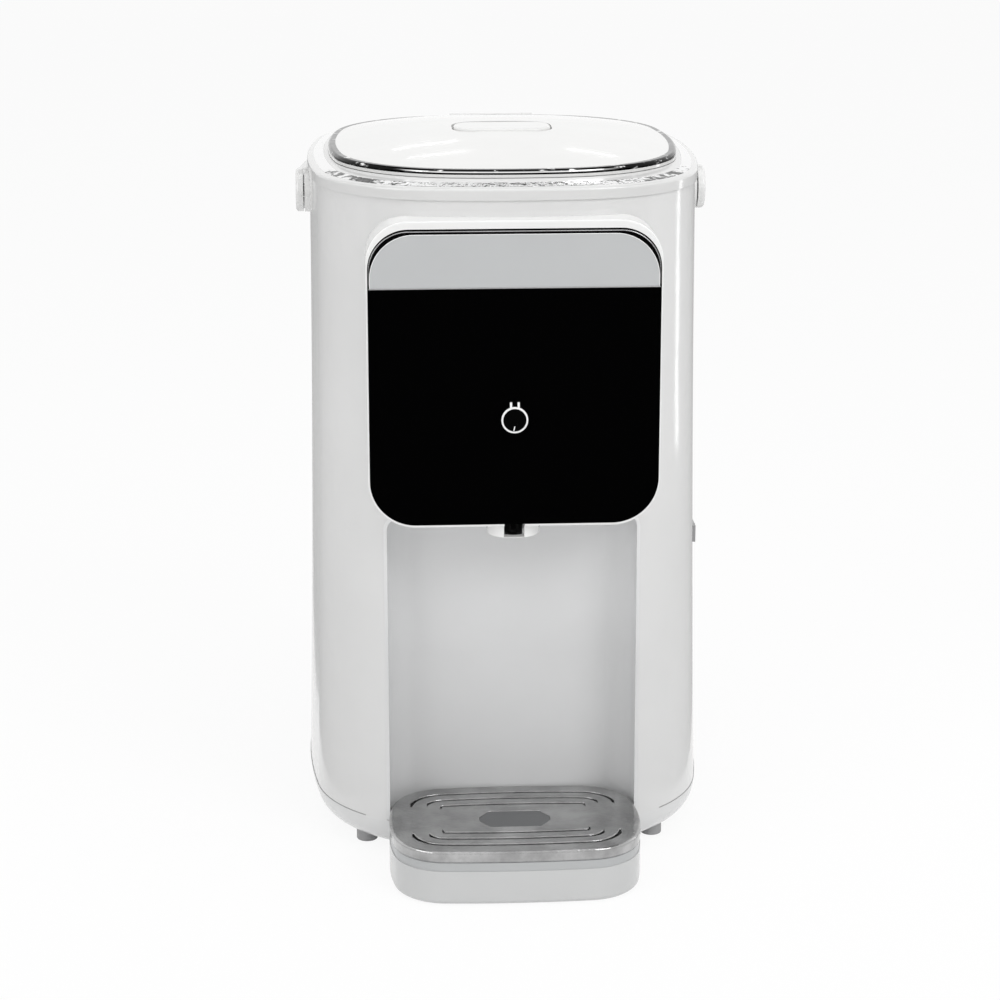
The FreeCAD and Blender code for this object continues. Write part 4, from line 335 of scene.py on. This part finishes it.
# Each row: the material's name, its colour, its roughness and other settings of moulded().
PLASTICS = {
    # shell: its colour is painted darker towards the bottom, a painted shade.
    "shell": (
        "shell_lacquer", (0.76, 0.76, 0.757), 0.16,
        dict(coat=0.35, heights=(0.03, 0.91, 0.27, 1.0)),
    ),
    "bezel": ("bezel_lacquer", (0.86, 0.86, 0.855), 0.18, dict(coat=0.3)),
    "collar": ("collar_lacquer", (0.71, 0.71, 0.706), 0.14, dict(coat=0.3)),
    "lid": ("lid_lacquer", (0.79, 0.79, 0.78), 0.08, dict(coat=0.35, coat_rough=0.015)),
    "lever": ("lever_plastic", (0.80, 0.80, 0.79), 0.16, dict(coat=0.3)),
    "base": ("base_plastic", (0.69, 0.693, 0.693), 0.22, dict(coat=0.2)),
    # alcove: its colour is painted darker low down and lighter towards the top, painted light
    # over the shade under the ceiling.
    "alcove": (
        "alcove_plastic", (0.70, 0.703, 0.706), 0.34,
        dict(haze=0.05, heights=(0.12, 0.96, 0.205, 1.10)),
    ),
    "shroud": ("shroud_plastic", (0.90, 0.90, 0.895), 0.2, dict(coat=0.3)),
    "tray": ("tray_plastic", (0.57, 0.575, 0.575), 0.24, dict(coat=0.2)),
    # rim: its darker grey is partly the strip's own colour and partly painted shade under the
    # grille's skirt.
    "rim": ("rim_strip", (0.46, 0.47, 0.475), 0.3, {}),
    "band": ("silver_band", (0.52, 0.53, 0.535), 0.26, dict(grain=2200.0, haze=0.02)),
    "glass": (
        "black_gloss_glass", (0.0008, 0.0008, 0.0009), 0.04,
        dict(grain=500.0, grain_depth=0.000002, haze=0.01),
    ),
    # bright: the button tick's own bright mark, and on the band line a painted highlight.
    "bright": ("bright_line", grey(0.93), 0.2, {}),
    "seam": ("seam_shadow", grey(0.30), 0.6, {}),
    # ring: its near-white colour is a painted highlight standing in for the chrome ring's bright
    # reflection.
    "ring": ("button_ring_metal", grey(0.93), 0.25, dict(coat=0.3)),
    "button": ("button_black", grey(0.002), 0.12, dict(haze=0.03, specular=0.12)),
    "pad": (
        "grille_pad_plastic", (0.11, 0.113, 0.116), 0.5, dict(grain=1400.0, grain_depth=0.00005),
    ),
    "black": (
        "black_plastic", (0.010, 0.010, 0.011), 0.35, dict(grain=1600.0, grain_depth=0.00004),
    ),
    "switch": (
        "switch_plastic", (0.34, 0.34, 0.345), 0.35, dict(grain=1600.0, grain_depth=0.00004),
    ),
    "handle": ("handle_plastic", (0.82, 0.82, 0.815), 0.2, dict(coat=0.25)),
    "natural": ("natural_plastic", (0.68, 0.67, 0.64), 0.42, dict(haze=0.06)),
    "dark": ("dark_plastic", (0.10, 0.10, 0.105), 0.45, dict(haze=0.06)),
}


def make_materials():
    made = {key: moulded(*row, **more) for key, (*row, more) in PLASTICS.items()}
    made["chrome"] = chrome("bright_chrome", (0.86, 0.86, 0.87), 0.03)
    made["bead"] = chrome("bead_chrome", (0.55, 0.55, 0.555), 0.22, 0.00005, 300.0)
    made["lid_ring"] = lid_ring_chrome()
    made["inlay"] = inlay_chrome()
    made["grille"] = grille_chrome()
    made["foot"] = rubbery("foot_rubber", (0.35, 0.35, 0.355), 0.7)
    made["seal"] = rubbery("seal_silicone", (0.78, 0.78, 0.76), 0.5, 0.2)
    made["hose"] = rubbery("hose_silicone", (0.80, 0.80, 0.78), 0.45, 0.3)
    made["steel"] = brushed("tank_steel", (0.60, 0.60, 0.61), 0.25, (1, 1, 40))
    made["zinc"] = brushed("zinc_plate", (0.55, 0.56, 0.58), 0.35, scale=120.0)
    made["screw"] = brushed("screw_steel", grey(0.58), 0.28, scale=400.0)
    made["motor"] = brushed("motor_steel", (0.42, 0.43, 0.44), 0.32, (40, 1, 40))
    made["board"] = circuit()
    return made


LOOKS = {
    "outer_shell": "shell", "panel_bezel": "bezel", "top_collar": "collar",
    "collar_inlay": "inlay", "base_cover": "base", "rubber_feet": "foot", "base_screws": "screw",
    "panel_trim": "chrome", "upper_band": "band", "glass_panel": "glass", "button_ring": "ring",
    "dispense_button": "button", "button_spring": "screw", "tact_switch": "black",
    "board_posts": "dark", "control_board": "board", "alcove_panel": "alcove",
    "spout_shroud": "shroud", "spout_guard": "black", "nozzle": "button", "syrup_tank": "steel",
    "tank_outlet": "natural", "outlet_strainer": "steel", "suction_hose": "hose",
    "delivery_hose": "hose", "pump_body": "natural", "pump_cover": "natural",
    "pump_screws": "screw", "pump_bracket": "zinc", "drive_gear": "dark", "drive_shaft": "screw",
    "shaft_coupling": "motor", "idler_gear": "dark", "idler_shaft": "screw",
    "gear_motor": "motor", "motor_saddle": "dark", "power_supply": "black",
    "power_inlet": "black", "inlet_pins": "screw", "switch_frame": "switch",
    "power_rocker": "switch", "lid_cover": "lid", "lid_trim_ring": "lid_ring",
    "lid_liner": "steel", "lid_gasket": "seal", "lid_screws": "screw", "hinge_leaf": "handle",
    "hinge_bracket": "handle", "hinge_pin": "screw", "lid_lever": "lever", "lever_pin": "screw",
    "lever_spring": "screw", "handle_bail": "handle", "handle_grip": "dark",
    "handle_pivots": "handle", "tray_body": "tray", "tray_rim": "rim", "drip_grille": "grille",
    "grille_pad": "pad",
}


def dress_nodes(materials):
    for name, look in LOOKS.items():
        node = NODES[name]
        if not node.material_slots:
            node.data.materials.append(materials[look])
        for slot in node.material_slots:
            slot.material = materials[look]


# ------------------------------------------------------------------ fine trim
def add_wire(name, points, radius, material, slot, body="housing", **finish):
    """Fine round line through 3-D points; finish sets more of the curve's own settings."""
    data = bpy.data.curves.new(name, "CURVE")
    data.dimensions = "3D"
    data.bevel_depth = radius
    for key, value in finish.items():
        setattr(data, key, value)
    spline = data.splines.new("POLY")
    spline.points.add(len(points) - 1)
    for point, place in zip(spline.points, points):
        point.co = (*place, 1.0)
    data.materials.append(material)
    wire = add_to_scene(name, data)
    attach(wire, body)


def add_bead(name, path, y, radius, material, slot="chrome_trim", body="housing"):
    """Round moulding along a path of (x, z) points on the front panel."""
    points = [(x, y, z) for x, z in path]
    finish = dict(bevel_resolution=4, use_fill_caps=True)
    add_wire(name, points, radius, material, slot, body, **finish)


def arc_points(cx, cz, radius, start, stop, steps=20):
    turns = [math.radians(start + (stop - start) * i / steps) for i in range(steps + 1)]
    return [(cx + radius * math.cos(t), cz + radius * math.sin(t)) for t in turns]


def arch(half, foot, top, corner):
    """Up the left side, round both upper corners and down the right side."""
    path = [(-half, foot)]
    path += arc_points(-half + corner, top - corner, corner, 180, 90)
    path += arc_points(half - corner, top - corner, corner, 90, 0)
    return path + [(half, foot)]


def add_trim(material):
    low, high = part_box("panel_trim")
    half = high[0] - TRIM_SIDE_INSET
    front = low[1] + BEAD_SETBACK
    path = arch(half, low[2] + TRIM_FOOT, high[2] - TRIM_TOP_INSET, TRIM_CORNER_R)
    add_bead("trim_bead", path, front, 0.00028, material)
    bar = low[2] + GLASS_LINE_RISE
    add_bead("glass_line", [(-half, bar), (half, bar)], front, 0.0004, material)


def add_band_line(material):
    # The bead's white colour is a painted highlight along the silver band's edge.
    low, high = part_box("upper_band")
    path = arch(high[0], low[2], high[2], BAND_CORNER_R)
    add_bead("band_line", path, low[1], 0.0002, material)


def add_button_tick(material):
    low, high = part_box("dispense_button")
    foot = low[2] + TICK_RISE
    middle = (low[0] + high[0]) / 2
    tick = [(middle - TICK_LEAN, foot), (middle, foot + TICK_LENGTH)]
    add_bead("button_tick", tick, low[1] - TICK_PROUD, 0.0003, material, "button_metal", "button")


def outline_at(node, height):
    """Outer outline of a convex node at a height, as (x, y) points."""
    cut = bmesh.new()
    cut.from_mesh(node.data)
    cut.transform(node.matrix_world)
    found = bmesh.ops.bisect_plane(
        cut, geom=cut.verts[:] + cut.edges[:] + cut.faces[:], dist=1e-7,
        plane_co=(0, 0, height), plane_no=(0, 0, 1),
    )["geom_cut"]
    spots = [item.co.xy for item in found if isinstance(item, bmesh.types.BMVert)]
    cut.free()
    return [spots[i] for i in convex_hull_2d(spots)]


def bearing(spot):
    """Degrees from +x, seen from above the middle of the body."""
    return math.degrees(math.atan2(spot.y - BODY_MIDDLE_Y, spot.x)) % 360.0


def add_seam(material):
    """Thin shadow line where the shell stands on its base cover."""
    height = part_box("outer_shell")[0][2] + SEAM_RISE
    spots = sorted(outline_at(NODES["outer_shell"], height), key=bearing)
    path = [spot for spot in spots if bearing(spot) > SEAM_STARTS]
    path += [spot for spot in spots if bearing(spot) < SEAM_ENDS]
    add_wire("seam", [(*spot, height) for spot in path], SEAM_R, material, "shell_gloss")


# ------------------------------------------------------------------ stage
def add_sheet(name, x0, x1, y0, y1, z):
    data = bpy.data.meshes.new(name)
    data.from_pydata([(x0, y0, 0), (x1, y0, 0), (x1, y1, 0), (x0, y1, 0)], [], [(0, 1, 2, 3)])
    sheet = add_to_scene(name, data)
    sheet.location = (0, 0, z)
    return sheet


def matt_material(sheet, name, tone, rough, specular):
    mat = bpy.data.materials.new(name)
    mat.use_nodes = True
    bsdf = mat.node_tree.nodes["Principled BSDF"]
    bsdf.inputs["Base Color"].default_value = (*grey(tone), 1)
    bsdf.inputs["Roughness"].default_value = rough
    bsdf.inputs["Specular IOR Level"].default_value = specular
    sheet.data.materials.append(mat)
    return mat.node_tree


def background_rays(tree):
    """1 for the rays that show the white background: camera, glossy and transmission."""
    path = tree.nodes.new("ShaderNodeLightPath")
    last = path.outputs["Is Camera Ray"]
    for kind in ("Is Glossy Ray", "Is Transmission Ray"):
        both = tree.nodes.new("ShaderNodeMath")
        both.operation = "MAXIMUM"
        tree.links.new(last, both.inputs[0])
        tree.links.new(path.outputs[kind], both.inputs[1])
        last = both.outputs[0]
    return last


def mix_shaders(tree, share, first, second, out):
    mix = tree.nodes.new("ShaderNodeMixShader")
    tree.links.new(share, mix.inputs["Fac"])
    tree.links.new(first, mix.inputs[1])
    tree.links.new(second, mix.inputs[2])
    tree.links.new(mix.outputs["Shader"], out.inputs["Surface"])


def add_floor():
    half = FLOOR_HALF
    floor = add_sheet("floor", -half, half, -half, half, -FLOOR_DROP)
    tree = matt_material(floor, "pale_floor", 0.92, 0.9, 0.1)
    glow = tree.nodes.new("ShaderNodeEmission")
    glow.inputs["Strength"].default_value = 1.0
    share = tree.nodes.new("ShaderNodeMath")
    share.operation = "MULTIPLY"
    share.inputs[1].default_value = FLOOR_GLOW_SHARE
    tree.links.new(background_rays(tree), share.inputs[0])
    mix_shaders(
        tree, share.outputs[0], tree.nodes["Principled BSDF"].outputs["BSDF"],
        glow.outputs["Emission"], tree.nodes["Material Output"],
    )


def add_world():
    """White background that lights the part like a room, brighter above, in front and right."""
    world = bpy.data.worlds.new("studio")
    bpy.context.scene.world = world
    world.use_nodes = True
    tree = world.node_tree
    tree.nodes.clear()
    out = tree.nodes.new("ShaderNodeOutputWorld")
    room = tree.nodes.new("ShaderNodeBackground")
    white = tree.nodes.new("ShaderNodeBackground")
    white.inputs["Color"].default_value = (1, 1, 1, 1)
    white.inputs["Strength"].default_value = 1.0
    coord = tree.nodes.new("ShaderNodeTexCoord")
    lean = tree.nodes.new("ShaderNodeVectorMath")
    lean.operation = "DOT_PRODUCT"
    lean.inputs[1].default_value = ROOM_LEAN
    tree.links.new(coord.outputs["Generated"], lean.inputs[0])
    level = tree.nodes.new("ShaderNodeMath")
    level.operation = "ADD"
    level.inputs[1].default_value = ROOM_LEVEL
    tree.links.new(lean.outputs["Value"], level.inputs[0])
    tree.links.new(level.outputs[0], room.inputs["Strength"])
    mix_shaders(
        tree, background_rays(tree), room.outputs["Background"], white.outputs["Background"], out
    )


def add_flag(name, area, tone, z=CARD_RISE):
    """Studio card that only reflections see, for contrast in the chrome and glass."""
    flag = add_sheet(name, *area, z)
    matt_material(flag, name, tone, 1.0, 0.0)
    flag.visible_camera = False
    flag.visible_diffuse = False
    flag.visible_transmission = False
    flag.visible_shadow = False


def add_flags():
    add_flag("front_flag", (-3.0, 3.0, -5.0, -0.62), 0.003)
    add_flag("left_flag", (-4.0, -0.18, -0.62, 5.0), 0.58)
    add_flag("right_flag", (0.18, 4.0, -0.62, 5.0), 0.55)
    add_flag("ceiling_flag", (-1.3, 1.3, -1.0, 2.2), 0.01, 2.2)


def add_softbox(name, place, aim, size, power):
    data = bpy.data.lights.new(name, "AREA")
    data.shape = "RECTANGLE"
    data.size, data.size_y = size
    data.energy = power
    light = add_to_scene(name, data)
    light.visible_camera = False
    point_at(light, place, aim)


def add_glint(name, spot, azimuth, height, width):
    """Narrow lamp two metres away, in the direction that a spot on the lid mirrors."""
    turn, rise = math.radians(azimuth), math.radians(height)
    level = math.cos(rise)
    ray = Vector((math.sin(turn) * level, -math.cos(turn) * level, math.sin(rise)))
    add_softbox(name, Vector(spot) + 2 * ray, spot, (width, 0.005), 0.012)


def add_lights():
    middle = (0, 0, 0.25)
    add_softbox("key", (1.3, -1.7, 1.9), middle, (1.2, 1.2), 20.0)
    add_softbox("fill", (-1.8, -1.4, 1.2), middle, (1.2, 1.6), 11.0)
    add_softbox("top", (0.0, -0.2, 2.1), (0, 0, 0.3), (1.6, 1.0), 8.0)
    add_softbox("strip", (0.54, 0.14, 0.27), (0.1, -0.07, 0.33), (0.05, 0.28), 0.12)
    add_glint("glint_left", (-0.051, -0.036, 0.425), -179.6, 17.2, 0.15)
    add_glint("glint_front", (-0.040, -0.061, 0.423), 179.8, 22.5, 0.16)
    add_glint("glint_right", (0.050, -0.055, 0.424), 172.5, 20.5, 0.12)


add_camera()
materials = make_materials()
dress_nodes(materials)
add_trim(materials["bead"])
add_button_tick(materials["bright"])
add_band_line(materials["bright"])
add_seam(materials["seam"])
add_floor()
add_world()
add_flags()
add_lights()
bpy.context.scene.view_settings.view_transform = "Standard"
